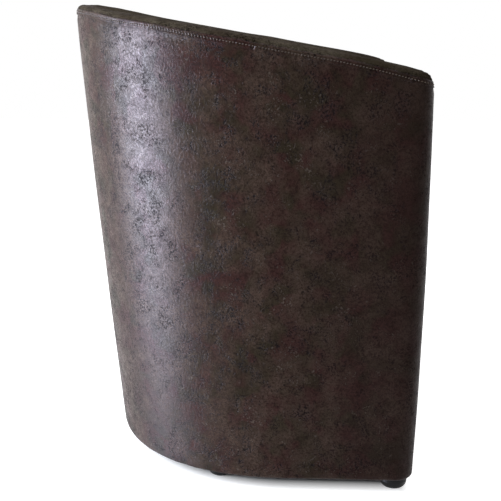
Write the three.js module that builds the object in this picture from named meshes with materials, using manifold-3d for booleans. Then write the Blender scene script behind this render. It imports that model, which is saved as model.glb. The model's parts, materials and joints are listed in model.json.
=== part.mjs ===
// Upholstered tub chair: a leaning U-shaped shell with a sloping rim, a fixed seat and small round feet.
// Millimetres, +Z up. The floor is z = 0, the chair faces -Y, and left and right are the sitter's (+X is left).
import * as THREE from "three";
import { mergeVertices } from "three/addons/utils/BufferGeometryUtils.js";
import Module from "manifold-3d";

const wasm = await Module();
wasm.setup();

// Overall shape, read from the photograph and scaled to a chair 670 mm wide.
const rimWidth = 670; // across the arms at the height of the back
const rimDepth = 556; // front of the arms to the back of the rim
const backHeight = 743; // floor to the rim's slope at the back
const armHeight = 644; // floor to the rim's slope at the arm fronts
const noseDrop = 7; // the rim curves down this far at the very front
const noseLength = 90; // over this far behind the front
const sideLean = 25.5; // the rim stands this far out over the lower edge at each side
const frontLean = 4;
const backLean = 58;
const coverLift = 24; // floor to the lower edge of the cover
const backRoundDepth = 325; // how far forward the rounded back reaches, at the rim
const backSquareness = 2.25; // 2 is an ellipse, and more is squarer
const wallThickness = 57;

// Upholstery layers, from the outside in.
const clearance = 0.3; // between pieces that touch
const weldDistance = 0.001; // points closer than this are one point
const coverThickness = 1.8;
const waddingThickness = 3.6;
const boardThickness = 3;
const postDepth = 24;
const outerBelly = 2.5; // how far the outer cover swells at half height
const frontBelly = 3.5; // how far an arm front swells at half height
const innerBelly = 5; // how far the inside back swells

// The top edge: a quarter ellipse on each side of the wall, with the seam part of the way up it.
const edgeWidth = 16;
const edgeHeight = 18;
const seamTurn = THREE.MathUtils.degToRad(36);
const rimCrown = 1.5; // the middle of the rim stands this much above its edges
const rimHoopThickness = 15;

// Arm fronts.
const outerCornerRadius = 28;
const innerCornerRadius = 22;
const returnLength = 40; // the outer cover runs this far back along the inside of each arm
const frontPadThickness = 8;
const armPanelThickness = 18;

// Seat.
const seatHeight = 440; // floor to the edge of the seat's top
const seatCrown = 14;
const seatThickness = 104;
const seatFrontSetback = 3; // the seat's front lies this far behind the arm fronts
const seatSideClearance = 0.6;
const seatEdgeRadius = 26;
const seatCornerRadius = 34;
const seatTuck = 7; // the lower edge is drawn in this far
const seatTuckHeight = 30;
const crownRowShares = [1 / 4, 1 / 2, 3 / 4]; // of the way from the edge to the middle
const springPadThickness = 4;
const apronSetback = 12;

// Frame timber.
const hoopThickness = 18;
const hoopInnerInset = 92;
const baseRailThickness = 22;
const baseRailHeight = 50;
const seatRailThickness = 22;
const seatRailHeight = 60;
const seatBackRailInset = 25; // the back rail's rear face lies this far ahead of the rear posts
const postWidth = 45;
const rearPostTurn = THREE.MathUtils.degToRad(40);
const quarterPostTurn = THREE.MathUtils.degToRad(68);
const sidePostShare = 0.5; // of the way from the arm front to where the back starts to round

// Zigzag springs and their clips.
const springCount = 5;
const springSideGap = 6; // between the outer springs and the side rails
const springWireRadius = 1.6;
const springWidth = 46;
const springHalfPitch = 29;
const clipWidth = 30;
const clipLength = 14;
const clipPlate = 1.2;

// Feet and their screws.
const bottomCoverThickness = 1.2;
const bottomCoverInset = 6;
const footRadius = 21;
const footSoleRadius = 12;
const footEdgeHeight = 11; // height over which the sole's edge is rounded
const footBore = 2.4;
const footRecessRadius = 5;
const footRecessDepth = 7;
const screwRadius = 2;
const screwHeadRadius = 4.2;
const screwHeadHeight = 2.4;
const screwBite = 13; // how far the screw reaches into the base hoop
const screwTip = 4;
const frontFootBehindFront = 28;
const frontFootInset = 35;
const sideFootTurn = THREE.MathUtils.degToRad(68);
const sideFootInset = 48;
const backFootInset = 48;

// How finely curves are faceted.
const arcStep = THREE.MathUtils.degToRad(8);
const cornerSteps = 4;
const coverRows = 5;
const edgeSteps = 4;
const footSides = 24;
const screwSides = 6;
const wireSides = 4;
const turnSteps = 3;
const foamEdgeSteps = 2;

const material = (colour, roughness, metalness = 0) =>
  new THREE.MeshStandardMaterial({ color: colour, roughness, metalness });
const coverFabric = material(0x3b302d, 0.6);
const wadding = material(0xe8e6e0, 0.95);
const foam = material(0xe6d9a8, 0.95);
const hardboard = material(0x6b4a30, 0.8);
const plywood = material(0xc9a877, 0.75);
const timber = material(0xd2b384, 0.75);
const springSteel = material(0x4a4d50, 0.35, 1);
const zincSteel = material(0xb9bcc0, 0.35, 1);
const blackPlastic = material(0x121212, 0.45);
const blackNonwoven = material(0x1b1b1b, 0.95);
const greyFelt = material(0x8a8782, 0.95);

const { lerp } = THREE.MathUtils;
const quarterTurn = Math.PI / 2;

const group = new THREE.Group();

// Adds one named piece.
function add(name, geometry, finish) {
  const mesh = new THREE.Mesh(geometry, finish);
  mesh.name = name;
  group.add(mesh);
  return mesh;
}

// A geometry from points and triangles, with its faces turned to point out.
function closedGeometry(points, triangles) {
  let volume = 0;
  const cross = new THREE.Vector3();
  for (const [a, b, c] of triangles) volume += points[a].dot(cross.crossVectors(points[b], points[c]));
  const index = triangles.flatMap(([a, b, c]) => (volume < 0 ? [a, c, b] : [a, b, c]));
  const position = new Float32Array(points.flatMap((p) => [p.x, p.y, p.z]));
  const geometry = new THREE.BufferGeometry();
  geometry.setAttribute("position", new THREE.BufferAttribute(position, 3));
  geometry.setIndex(index);
  geometry.computeVertexNormals();
  return geometry;
}

// A solid through a stack of closed loops of equal length. The two halves of a loop are the two faces of a
// sheet, and their diagonals run alike, so that layers lie flat on each other.
// An end cap is a point (a fan), a row of points (a ridge between the loop's two halves) or null (a flat strip).
function stackSolid(loops, startCap, endCap) {
  const points = loops.flat();
  const triangles = [];
  const size = loops[0].length;
  const quad = (a, b, c, d) => triangles.push([a, b, c], [a, c, d]);
  for (let ring = 0; ring + 1 < loops.length; ring++) {
    for (let k = 0; k < size; k++) {
      const here = ring * size + k;
      const next = ring * size + ((k + 1) % size);
      if (k < size / 2) quad(here, next, next + size, here + size);
      else quad(next, next + size, here + size, here);
    }
  }
  const close = (first, cap, flip) => {
    const turned = flip ? (a, b, c) => triangles.push([a, c, b]) : (a, b, c) => triangles.push([a, b, c]);
    const half = size / 2;
    const near = (k) => first + k;
    const far = (k) => first + size - 1 - k;
    if (cap === null) {
      for (let k = 0; k + 1 < half; k++) {
        turned(near(k), far(k), far(k + 1));
        turned(near(k), far(k + 1), near(k + 1));
      }
      return;
    }
    const start = points.length;
    if (cap.isVector3) {
      points.push(cap);
      for (let k = 0; k < size; k++) turned(start, near((k + 1) % size), near(k));
      return;
    }
    points.push(...cap);
    const last = half - 1;
    turned(near(0), far(0), start);
    turned(far(last), near(last), start + last);
    for (let k = 0; k < last; k++) {
      turned(near(k), start + k, start + k + 1);
      turned(near(k), start + k + 1, near(k + 1));
      turned(start + k, far(k), far(k + 1));
      turned(start + k, far(k + 1), start + k + 1);
    }
  };
  close(0, startCap, false);
  close((loops.length - 1) * size, endCap, true);
  return closedGeometry(points, triangles);
}

// A sheet with a thickness: columns of [outer point, inner point] pairs, all with the same number of rows.
function sheetSolid(columns) {
  const loops = columns.map((rows) => [
    ...rows.map(([outer]) => outer),
    ...rows.map(([, inner]) => inner).reverse(),
  ]);
  return stackSolid(loops, null, null);
}

// Solid operations on geometries.
function toManifold(geometry) {
  const bare = geometry.index ? geometry.toNonIndexed() : geometry.clone();
  for (const name of Object.keys(bare.attributes)) if (name !== "position") bare.deleteAttribute(name);
  const merged = mergeVertices(bare, weldDistance);
  const vertProperties = merged.attributes.position.array;
  const triVerts = new Uint32Array(merged.index.array);
  return new wasm.Manifold(new wasm.Mesh({ numProp: 3, vertProperties, triVerts }));
}

function toGeometry(solid) {
  const mesh = solid.getMesh();
  const geometry = new THREE.BufferGeometry();
  const position = new Float32Array(mesh.numVert * 3);
  for (let i = 0; i < mesh.numVert; i++) {
    position.set(mesh.vertProperties.subarray(i * mesh.numProp, i * mesh.numProp + 3), i * 3);
  }
  geometry.setAttribute("position", new THREE.BufferAttribute(position, 3));
  geometry.setIndex(new THREE.BufferAttribute(mesh.triVerts, 1));
  geometry.computeVertexNormals();
  return geometry;
}

function cut(geometry, tools) {
  let solid = toManifold(geometry);
  for (const tool of tools) solid = solid.subtract(toManifold(tool));
  return toGeometry(solid);
}

const common = (a, b) => toGeometry(toManifold(a).intersect(toManifold(b)));

// A box between two corners.
function boxBetween(low, high) {
  const geometry = new THREE.BoxGeometry(high.x - low.x, high.y - low.y, high.z - low.z);
  geometry.translate((low.x + high.x) / 2, (low.y + high.y) / 2, (low.z + high.z) / 2);
  return geometry;
}

// The shell's plan at a height: it widens and deepens steadily from the lower edge to the rim.
const baseFront = frontLean - rimDepth / 2;

function planAt(z) {
  const fall = (backHeight - z) / (backHeight - coverLift);
  const halfWidth = rimWidth / 2 - sideLean * fall;
  const front = frontLean * fall - rimDepth / 2;
  const back = rimDepth / 2 - backLean * fall;
  const roundDepth = (backRoundDepth * halfWidth) / (rimWidth / 2);
  return { halfWidth, front, roundDepth, roundStart: back - roundDepth };
}

// The rim falls steadily from the back, and a little more at the nose of each arm.
function rimHeightAt(y) {
  const behindFront = y + rimDepth / 2;
  const nose = Math.max(0, 1 - behindFront / noseLength);
  return lerp(armHeight, backHeight, behindFront / rimDepth) - noseDrop * nose ** 2;
}

// Stations run round the wall. Each is on one side (1 left, -1 right) and is a turn round the back
// (0 at its middle, a quarter turn where the arm starts) or a distance behind the arm front.
// A station with a corner angle is on the arm front's outer or inner corner.
function planPoint(station, z, inset) {
  const plan = planAt(z);
  if (station.corner !== undefined) {
    const radius = station.inner ? innerCornerRadius : outerCornerRadius;
    const centreInset = station.inner ? wallThickness - innerCornerRadius : outerCornerRadius;
    const reach = radius - inset;
    const x = plan.halfWidth - centreInset + reach * Math.cos(station.corner);
    return { x: station.side * x, y: plan.front + radius - reach * Math.sin(station.corner) };
  }
  const depth = station.inner ? wallThickness - inset : inset;
  if (station.behindFront !== undefined) {
    return { x: station.side * (plan.halfWidth - depth), y: plan.front + station.behindFront };
  }
  const power = 2 / backSquareness;
  const across = Math.sin(station.turn) ** power;
  const along = Math.max(Math.cos(station.turn), 0) ** power;
  const normalX = across ** (backSquareness - 1) / plan.halfWidth;
  const normalY = along ** (backSquareness - 1) / plan.roundDepth;
  const length = Math.hypot(normalX, normalY);
  return {
    x: station.side * (plan.halfWidth * across - (depth * normalX) / length),
    y: plan.roundStart + plan.roundDepth * along - (depth * normalY) / length,
  };
}

function pointAt(station, z, inset) {
  const { x, y } = planPoint(station, z, inset);
  return new THREE.Vector3(x, y, z);
}

// The point at an inset that lies a drop below the rim.
function rimPoint(station, inset, drop) {
  let z = backHeight;
  for (let pass = 0; pass < 5; pass++) z = rimHeightAt(planPoint(station, z, inset).y) - drop;
  return pointAt(station, z, inset);
}

// The rounded top edge at a turn from upright to flat, for a layer that lies this deep under the cover's face.
function edgePoint(station, turn, depth) {
  const inset = depth + (edgeWidth - depth) * (1 - Math.cos(turn));
  const drop = depth + (edgeHeight - depth) * (1 - Math.sin(turn));
  return rimPoint(station, inset, drop);
}

// Values with more put in between, in steps of about the given one.
function filled(values, step) {
  const out = [values[0]];
  for (let i = 1; i < values.length; i++) {
    const count = Math.max(1, Math.round((values[i] - values[i - 1]) / step));
    for (let k = 1; k <= count; k++) out.push(lerp(values[i - 1], values[i], k / count));
  }
  return out;
}

// The turn at which the rim's outline has run a distance from a given turn.
function turnAfter(turn, run) {
  const step = arcStep / 100;
  let here = planPoint({ side: 1, turn }, backHeight, 0);
  let left = Math.abs(run);
  let at = turn;
  while (left > 0) {
    at += step * Math.sign(run);
    const next = planPoint({ side: 1, turn: at }, backHeight, 0);
    left -= Math.hypot(next.x - here.x, next.y - here.y);
    here = next;
  }
  return at;
}

const postEdges = (turn) => [turnAfter(turn, -postWidth / 2), turnAfter(turn, postWidth / 2)];
const backPostEdge = turnAfter(0, postWidth / 2);
const rearPostEdges = postEdges(rearPostTurn);
const quarterPostEdges = postEdges(quarterPostTurn);
const halfTurns = filled([0, backPostEdge, ...rearPostEdges, ...quarterPostEdges, quarterTurn], arcStep);
const sidePost = sidePostShare * (rimDepth - backRoundDepth);
const sidePostEdges = [sidePost + postWidth / 2, sidePost - postWidth / 2];

// The inner cover starts where the outer cover's return inside the arm ends.
const innerCoverFront = returnLength + clearance;

// Stations of one side from the back to a distance behind the front, by way of the side post's edges.
function sideStations(side, lastBehindFront) {
  const turns = halfTurns.map((turn) => ({ side, turn }));
  const between = [...sidePostEdges, innerCoverFront].filter((behindFront) => behindFront > lastBehindFront);
  const straights = [...between, lastBehindFront].map((behindFront) => ({ side, behindFront }));
  return [...turns, ...straights];
}

// Stations from the right arm's front round the back to the left arm's front.
function roundStations(lastBehindFront) {
  const right = sideStations(-1, lastBehindFront).reverse();
  return [...right, ...sideStations(1, lastBehindFront).slice(1)];
}

const asInner = (stations) => stations.map((s) => ({ ...s, inner: true }));

function cornerStations(side, inner) {
  const from = inner ? 2 * quarterTurn : 0;
  const stations = [];
  for (let k = 0; k <= cornerSteps; k++) {
    stations.push({ side, inner, corner: lerp(from, quarterTurn, k / cornerSteps) });
  }
  return stations;
}

// The wall's whole edge as two matching rows: round the outside, and round the inside.
const outerRow = [
  ...cornerStations(-1, false).reverse(),
  ...roundStations(outerCornerRadius).slice(1, -1),
  ...cornerStations(1, false),
];
const innerRow = [
  ...cornerStations(-1, true).reverse(),
  ...asInner(roundStations(innerCornerRadius)).slice(1, -1),
  ...cornerStations(1, true),
];
const wallLoop = [...outerRow, ...innerRow.slice().reverse()];

// A wall layer between two insets, over the given stations, from a floor height to a drop below the rim.
function layer(stations, outerInset, innerInset, bottom, drop) {
  const columns = stations.map((station) => [
    [pointAt(station, bottom, outerInset), pointAt(station, bottom, innerInset)],
    [rimPoint(station, outerInset, drop), rimPoint(station, innerInset, drop)],
  ]);
  return sheetSolid(columns);
}

// Depths of the layers from the outer face.
const insideInset = coverThickness + clearance;
const outerBoardInset = insideInset + waddingThickness + clearance;
const postInset = outerBoardInset + boardThickness + clearance;
const innerBoardInset = postInset + postDepth + clearance;
const innerFoamInset = innerBoardInset + boardThickness + clearance;
const underRim = edgeHeight + clearance;
const panelInnerInset = wallThickness - innerCornerRadius / 3; // clear of the cover round the inner corner
const panelBehindFront = coverThickness + clearance + frontPadThickness + clearance;
const behindPanel = panelBehindFront + armPanelThickness + clearance;
const hoopTop = coverLift + hoopThickness;
const onHoop = hoopTop + clearance;

// Heights of the seat's layers, from the top down.
const seatBottom = seatHeight - seatThickness;
const springPadBottom = seatBottom - clearance - springPadThickness;
const clipTop = springPadBottom - clearance;
const clipHeight = 2 * clipPlate + 2 * springWireRadius + 2 * clearance;
const seatRailTop = clipTop - clipHeight - clearance;
const innerBottom = seatRailTop + clearance;

// How far a layer swells, at a share of its height. The arm fronts swell most, and the cover that returns
// inside the arms lies flat.
function belly(station, share, swell) {
  const flat = station.inner && (station.corner !== undefined || station.behindFront <= innerCoverFront);
  const most = lerp(flat ? 0 : swell, frontBelly, Math.sin(station.corner ?? 0));
  return 4 * most * Math.max(0, share) * (1 - share);
}

// Heights of a layer's rows: even steps from one height to another, above a lower edge where it has one.
function rowHeights(bottom, from, top, rows) {
  const heights = Array.from({ length: rows + 1 }, (_, k) => lerp(from, top, k / rows));
  return from > bottom ? [bottom, ...heights] : heights;
}

// Rows of a cover's face and back, from its lower edge up to the seam.
function coverColumn(station, bottom, swellFrom, swell, rows) {
  const seam = seamTurn - clearance / edgeHeight;
  const top = edgePoint(station, 0, 0).z;
  const out = rowHeights(bottom, swellFrom, top, rows).slice(0, -1).map((z) => {
    const swelling = belly(station, (z - swellFrom) / (top - swellFrom), swell);
    return [pointAt(station, z, -swelling), pointAt(station, z, coverThickness - swelling)];
  });
  const steps = Math.ceil(edgeSteps / 2);
  for (let k = 0; k <= steps; k++) {
    const turn = (seam * k) / steps;
    out.push([edgePoint(station, turn, 0), edgePoint(station, turn, coverThickness)]);
  }
  return out;
}

// Outer cover: from a seam inside the right arm, round its front, the back and the left arm's front.
const returnStations = (side) => [
  { side, inner: true, behindFront: returnLength },
  ...cornerStations(side, true),
];
const outerCoverPath = [
  ...returnStations(-1),
  ...outerRow,
  ...returnStations(1).reverse(),
];
const outerCoverColumns = outerCoverPath.map((station) =>
  coverColumn(station, coverLift, coverLift, outerBelly, coverRows),
);

// Inner cover: the inside of the arms and back, from under the seat's edge to the rim seam.
const innerCoverPath = asInner(roundStations(innerCoverFront));
const innerCoverColumns = innerCoverPath.map((station) =>
  coverColumn(station, innerBottom, seatHeight, innerBelly, coverRows - 1),
);
add("inner_cover", sheetSolid(innerCoverColumns), coverFabric);

// Rim band and the foam under it: loops up the rounded edges, closed across the top by a raised middle row.
const spine = (depth) =>
  outerRow.map((station, k) => {
    const outer = edgePoint(station, quarterTurn, depth);
    const inner = edgePoint(innerRow[k], quarterTurn, depth);
    return outer.add(inner).multiplyScalar(1 / 2).add(new THREE.Vector3(0, 0, rimCrown));
  });

function edgeLoops(fromTurn, depth, steps) {
  const loops = [];
  for (let k = 0; k <= steps; k++) {
    const turn = lerp(fromTurn, quarterTurn, k / steps);
    loops.push(wallLoop.map((station) => edgePoint(station, turn, depth)));
  }
  return loops;
}

const bandStart = seamTurn + clearance / edgeHeight;
const bandLoops = [
  ...edgeLoops(bandStart, coverThickness, edgeSteps).reverse(),
  ...edgeLoops(bandStart, 0, edgeSteps),
];
add("rim_band", stackSolid(bandLoops, spine(coverThickness), spine(0)), coverFabric);
add("rim_foam", stackSolid(edgeLoops(0, insideInset, foamEdgeSteps), null, spine(insideInset)), foam);

// One face of a swelling layer, from its lower edge to the underside of the rim, in rows above a height.
function faceRows(station, inset, swell, bottom, from, rows) {
  const top = rimPoint(station, inset, underRim).z;
  return rowHeights(bottom, from, top, rows).map((z) =>
    pointAt(station, z, inset - belly(station, (z - from) / (top - from), swell)),
  );
}
const pairUp = (outer, inner) => outer.map((point, k) => [point, inner[k]]);

// Wadding between the outer board and the cover, as thick as the cover's belly needs.
const waddingColumns = roundStations(outerCornerRadius).map((station) =>
  pairUp(
    faceRows(station, insideInset + clearance, outerBelly - clearance, coverLift, coverLift, coverRows),
    faceRows(station, insideInset + waddingThickness, 0, coverLift, coverLift, coverRows),
  ),
);
add("outer_wadding", sheetSolid(waddingColumns), wadding);

// Frame of the shell.
const boardStations = roundStations(panelBehindFront + armPanelThickness / 2);
const boardInner = outerBoardInset + boardThickness;
add("outer_board", layer(boardStations, outerBoardInset, boardInner, coverLift, underRim), hardboard);

const shellStations = roundStations(behindPanel);
const innerBoardBack = innerBoardInset + boardThickness;
add("inner_board", layer(shellStations, innerBoardInset, innerBoardBack, innerBottom, underRim), hardboard);

const rimHoopColumns = shellStations.map((station) =>
  [underRim + rimHoopThickness, underRim].map((drop) => [
    rimPoint(station, postInset, drop),
    rimPoint(station, postInset + postDepth, drop),
  ]),
);
add("rim_hoop", sheetSolid(rimHoopColumns), plywood);

// Inside foam: its face follows the inner cover, which swells above the seat.
const foamBack = wallThickness - innerFoamInset;
const innerFoamColumns = asInner(shellStations).map((station) =>
  pairUp(
    faceRows(station, insideInset + clearance, innerBelly - clearance, innerBottom, seatHeight, coverRows - 1),
    faceRows(station, foamBack, 0, innerBottom, seatHeight, coverRows - 1),
  ),
);
add("inner_foam", sheetSolid(innerFoamColumns), foam);

// Uprights between the base hoop and the rim hoop.
const underRimHoop = underRim + rimHoopThickness + clearance;
const post = (stations, spare = 0) =>
  layer(stations, postInset - spare, postInset + postDepth + spare, onHoop, underRimHoop);
const turnStations = (side, [from, to]) =>
  halfTurns.filter((turn) => turn >= from && turn <= to).map((turn) => ({ side, turn }));
const backPostStations = [
  { side: -1, turn: backPostEdge },
  { side: 1, turn: 0 },
  { side: 1, turn: backPostEdge },
];
add("post_back", post(backPostStations), timber);
const sides = [
  ["left", 1],
  ["right", -1],
];
for (const [word, side] of sides) {
  add(`post_rear_${word}`, post(turnStations(side, rearPostEdges)), timber);
  add(`post_quarter_${word}`, post(turnStations(side, quarterPostEdges)), timber);
  add(`post_side_${word}`, post(sidePostEdges.map((behindFront) => ({ side, behindFront }))), timber);
}

// The space inside the outer cover, as a solid: what stands in an arm front is cut to it.
const insideRows = wallLoop.map((station) =>
  faceRows(station, insideInset, outerBelly - clearance, coverLift, coverLift, coverRows),
);
const insideLoops = insideRows[0].map((_, row) => insideRows.map((rows) => rows[row]));
const insideCover = stackSolid(insideLoops, null, null);

// Arm fronts: a plywood panel behind a foam pad.
for (const [word, side] of sides) {
  const panelStations = [panelBehindFront, panelBehindFront + armPanelThickness].map((behindFront) => ({
    side,
    behindFront,
  }));
  const panel = layer(panelStations, postInset, panelInnerInset, onHoop, underRim);
  add(`arm_panel_${word}`, panel, plywood);
  const padStations = [-2 * frontBelly, panelBehindFront - clearance].map((behindFront) => ({ side, behindFront }));
  const padBlock = layer(padStations, 0, wallThickness, coverLift, underRim);
  add(`arm_front_pad_${word}`, common(padBlock, insideCover), foam);
}

// Feet: where each stands, and its screw.
const footTop = coverLift - bottomCoverThickness - 2 * clearance;
const footPlaces = [
  ["front_left", { side: 1, behindFront: frontFootBehindFront }, frontFootInset],
  ["front_right", { side: -1, behindFront: frontFootBehindFront }, frontFootInset],
  ["side_left", { side: 1, turn: sideFootTurn }, sideFootInset],
  ["side_right", { side: -1, turn: sideFootTurn }, sideFootInset],
  ["back", { side: 1, turn: 0 }, backFootInset],
].map(([word, station, inset]) => ({ word, ...planPoint(station, coverLift, inset) }));

const turned = (profile, sideCount) => {
  const geometry = new THREE.LatheGeometry(
    profile.map(([r, z]) => new THREE.Vector2(r, z)),
    sideCount,
  );
  geometry.rotateX(quarterTurn);
  return geometry;
};

// A bored foot with a sunk place for the screw's head under it, and a sole with a rounded edge.
const soleEdge = [];
for (let k = 0; k <= edgeSteps; k++) {
  const turn = (quarterTurn * k) / edgeSteps;
  const radius = footSoleRadius + (footRadius - footSoleRadius) * Math.sin(turn);
  soleEdge.push([radius, footEdgeHeight * (1 - Math.cos(turn))]);
}
const footProfile = [
  [footBore, footRecessDepth],
  [footRecessRadius, footRecessDepth],
  [footRecessRadius, 0],
  ...soleEdge,
  [footRadius, footTop],
  [footBore, footTop],
  [footBore, footRecessDepth],
];
const screwHeadBottom = footRecessDepth - clearance - screwHeadHeight;
const screwEnd = coverLift + screwBite;
const screwProfile = [
  [0, screwHeadBottom],
  [screwHeadRadius, screwHeadBottom],
  [screwHeadRadius, screwHeadBottom + screwHeadHeight],
  [screwRadius, screwHeadBottom + screwHeadHeight],
  [screwRadius, screwEnd - screwTip],
  [0, screwEnd],
];
for (const { word, x, y } of footPlaces) {
  add(`foot_${word}`, turned(footProfile, footSides), blackPlastic).position.set(x, y, 0);
  add(`foot_screw_${word}`, turned(screwProfile, screwSides), zincSteel).position.set(x, y, 0);
}

// Holes for the foot screws, blind in the base hoop.
const screwHoles = footPlaces.map(({ x, y }) => {
  const hole = new THREE.CylinderGeometry(footBore, footBore, screwEnd + clearance, screwSides);
  hole.rotateX(quarterTurn);
  hole.translate(x, y, (screwEnd + clearance) / 2);
  return hole;
});

// Base: a plywood hoop under the walls, a rail across the front and a cloth underneath.
const apronFront = baseFront + apronSetback;
const frontBoardFront = apronFront + coverThickness + clearance;
const railFront = frontBoardFront + boardThickness + clearance;
const betweenPanels = (front, back, top) =>
  boxBetween(
    new THREE.Vector3(panelInnerInset - planAt(coverLift).halfWidth, front, 0),
    new THREE.Vector3(planAt(coverLift).halfWidth - panelInnerInset, back, top),
  );
const hoopColumns = roundStations(panelBehindFront).map((station) =>
  [coverLift, hoopTop].map((z) => [pointAt(station, z, postInset), pointAt(station, z, hoopInnerInset)]),
);
const aheadOfRails = betweenPanels(-rimDepth, railFront, backHeight);
add("base_hoop", cut(sheetSolid(hoopColumns), [...screwHoles, aheadOfRails]), plywood);

// Below the seat the outer cover ends in front of the rails, which reach the arm panels.
const railZone = (side) => {
  const outline = [railFront - clearance, baseFront + 2 * returnLength].map((y) =>
    [0, seatRailTop].map((z) => [
      new THREE.Vector3(side * (planAt(z).halfWidth - panelInnerInset), y, z),
      new THREE.Vector3(0, y, z),
    ]),
  );
  return sheetSolid(outline);
};
add("outer_cover", cut(sheetSolid(outerCoverColumns), [railZone(1), railZone(-1)]), coverFabric);
const armInside = (z) => planAt(z).halfWidth - wallThickness - clearance;
const railHalf = (z) => planAt(z).halfWidth - panelInnerInset - clearance;
const crossBar = (halfLength, front, thickness, bottom, height) =>
  boxBetween(
    new THREE.Vector3(-halfLength, front, bottom),
    new THREE.Vector3(halfLength, front + thickness, bottom + height),
  );
const baseRail = crossBar(railHalf(onHoop), railFront, baseRailThickness, onHoop, baseRailHeight);
add("base_front_rail", baseRail, timber);

// The front between the arms: a board and its cover, each widening upwards with the shell.
function apron(front, thickness, top) {
  const columns = [-1, 1].map((side) =>
    [coverLift, top].map((z) => [
      new THREE.Vector3(side * armInside(z), front, z),
      new THREE.Vector3(side * armInside(z), front + thickness, z),
    ]),
  );
  return sheetSolid(columns);
}
add("front_cover", apron(apronFront, coverThickness, seatBottom - clearance), coverFabric);
add("front_board", apron(frontBoardFront, boardThickness, seatRailTop), hardboard);

const bottomLoop = (z) => {
  const half = (side) => [
    ...halfTurns.map((turn) => ({ side, turn })),
    ...cornerStations(side, false),
  ].map((station) => pointAt(station, z, bottomCoverInset));
  return [...half(1).reverse(), ...half(-1).slice(1)];
};
const bottomCoverTop = coverLift - clearance;
const bottomCoverLow = bottomCoverTop - bottomCoverThickness;
const bottomSheet = stackSolid(
  [bottomLoop(bottomCoverLow), bottomLoop(bottomCoverTop)],
  new THREE.Vector3(0, 0, bottomCoverLow),
  new THREE.Vector3(0, 0, bottomCoverTop),
);
const aheadOfBoard = betweenPanels(-rimDepth, frontBoardFront, backHeight);
add("bottom_cover", cut(bottomSheet, [...screwHoles, aheadOfBoard]), blackNonwoven);

// Seat frame: a rail across the front, two side rails that reach the rear posts, and a back rail.
const seatRailBottom = seatRailTop - seatRailHeight;
const seatRail = crossBar(railHalf(seatRailBottom), railFront, seatRailThickness, seatRailBottom, seatRailHeight);
add("seat_front_rail", seatRail, timber);
const sideRailFront = railFront + seatRailThickness + clearance;
const rearPostFace = planPoint({ side: 1, turn: rearPostTurn }, seatRailTop, postInset + postDepth);
const railReach = rearPostFace.x + seatRailThickness / 2;
const railInside = rearPostFace.x - seatRailThickness / 2;
for (const [word, side] of sides) {
  const rail = boxBetween(
    new THREE.Vector3(side > 0 ? railInside : -railReach, sideRailFront, seatRailBottom),
    new THREE.Vector3(side > 0 ? railReach : -railInside, rearPostFace.y + postDepth / 2, seatRailTop),
  );
  const wallStations = turnStations(side, [backPostEdge, quarterTurn]);
  const wallHere = layer(wallStations, 0, postInset + postDepth + clearance, coverLift, 0);
  add(`seat_side_rail_${word}`, cut(rail, [wallHere]), timber);
}
const backRailRear = rearPostFace.y - seatBackRailInset;
const backRailFront = backRailRear - seatRailThickness;
const backRail = crossBar(railInside - clearance, backRailFront, seatRailThickness, seatRailBottom, seatRailHeight);
add("seat_back_rail", backRail, timber);

// Zigzag springs, held in a folded clip on the front rail and another on the back rail.
const wireHeight = seatRailTop + clearance + clipPlate + clearance + springWireRadius;
const frontClipBack = sideRailFront - clearance;
const backClipFront = backRailFront;
const hookInset = clipPlate + clearance + springWireRadius;
const springStart = frontClipBack - clipLength + hookInset;
const springEnd = backClipFront + clipLength - hookInset;

// The wire's centre line: a straight end in each clip, and half circles from side to side between.
function springPath(centre) {
  const count = 2 * Math.round((springEnd - springStart) / springHalfPitch / 2) + 1;
  const pitch = (springEnd - springStart) / count;
  const radius = pitch / 2;
  const reach = springWidth / 2 - radius;
  const endReach = clipWidth / 3;
  const path = [new THREE.Vector3(centre - endReach, springStart, wireHeight)];
  for (let k = 0; k < count; k++) {
    const side = k % 2 === 0 ? 1 : -1;
    const middle = springStart + pitch * (k + 1 / 2);
    for (let step = 0; step <= turnSteps; step++) {
      const turn = lerp(-quarterTurn, quarterTurn, step / turnSteps);
      const x = centre + side * (reach + radius * Math.cos(turn));
      path.push(new THREE.Vector3(x, middle + radius * Math.sin(turn), wireHeight));
    }
  }
  path.push(new THREE.Vector3(centre - endReach, springEnd, wireHeight));
  return path;
}

// A wire through points that share a height.
function wire(path, radius) {
  const loops = path.map((point, i) => {
    const before = path[Math.max(i - 1, 0)];
    const after = path[Math.min(i + 1, path.length - 1)];
    const along = after.clone().sub(before).normalize();
    const across = new THREE.Vector3(-along.y, along.x, 0);
    return Array.from({ length: wireSides }, (_, k) => {
      const turn = (2 * Math.PI * k) / wireSides;
      return point
        .clone()
        .addScaledVector(across, radius * Math.cos(turn))
        .add(new THREE.Vector3(0, 0, radius * Math.sin(turn)));
    });
  });
  return stackSolid(loops, path[0], path[path.length - 1]);
}

// A clip folded over the wire: a plate on the rail, a bend, and a plate above. Closed end at -Y.
function clip() {
  const outline = new THREE.Shape();
  outline.moveTo(0, 0);
  outline.lineTo(clipLength, 0);
  outline.lineTo(clipLength, clipPlate);
  outline.lineTo(clipPlate, clipPlate);
  outline.lineTo(clipPlate, clipHeight - clipPlate);
  outline.lineTo(clipLength, clipHeight - clipPlate);
  outline.lineTo(clipLength, clipHeight);
  outline.lineTo(0, clipHeight);
  outline.closePath();
  const geometry = new THREE.ExtrudeGeometry(outline, { depth: clipWidth, bevelEnabled: false });
  geometry.rotateY(quarterTurn);
  geometry.rotateX(quarterTurn);
  geometry.translate(-clipWidth / 2, 0, 0);
  return geometry;
}

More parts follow.
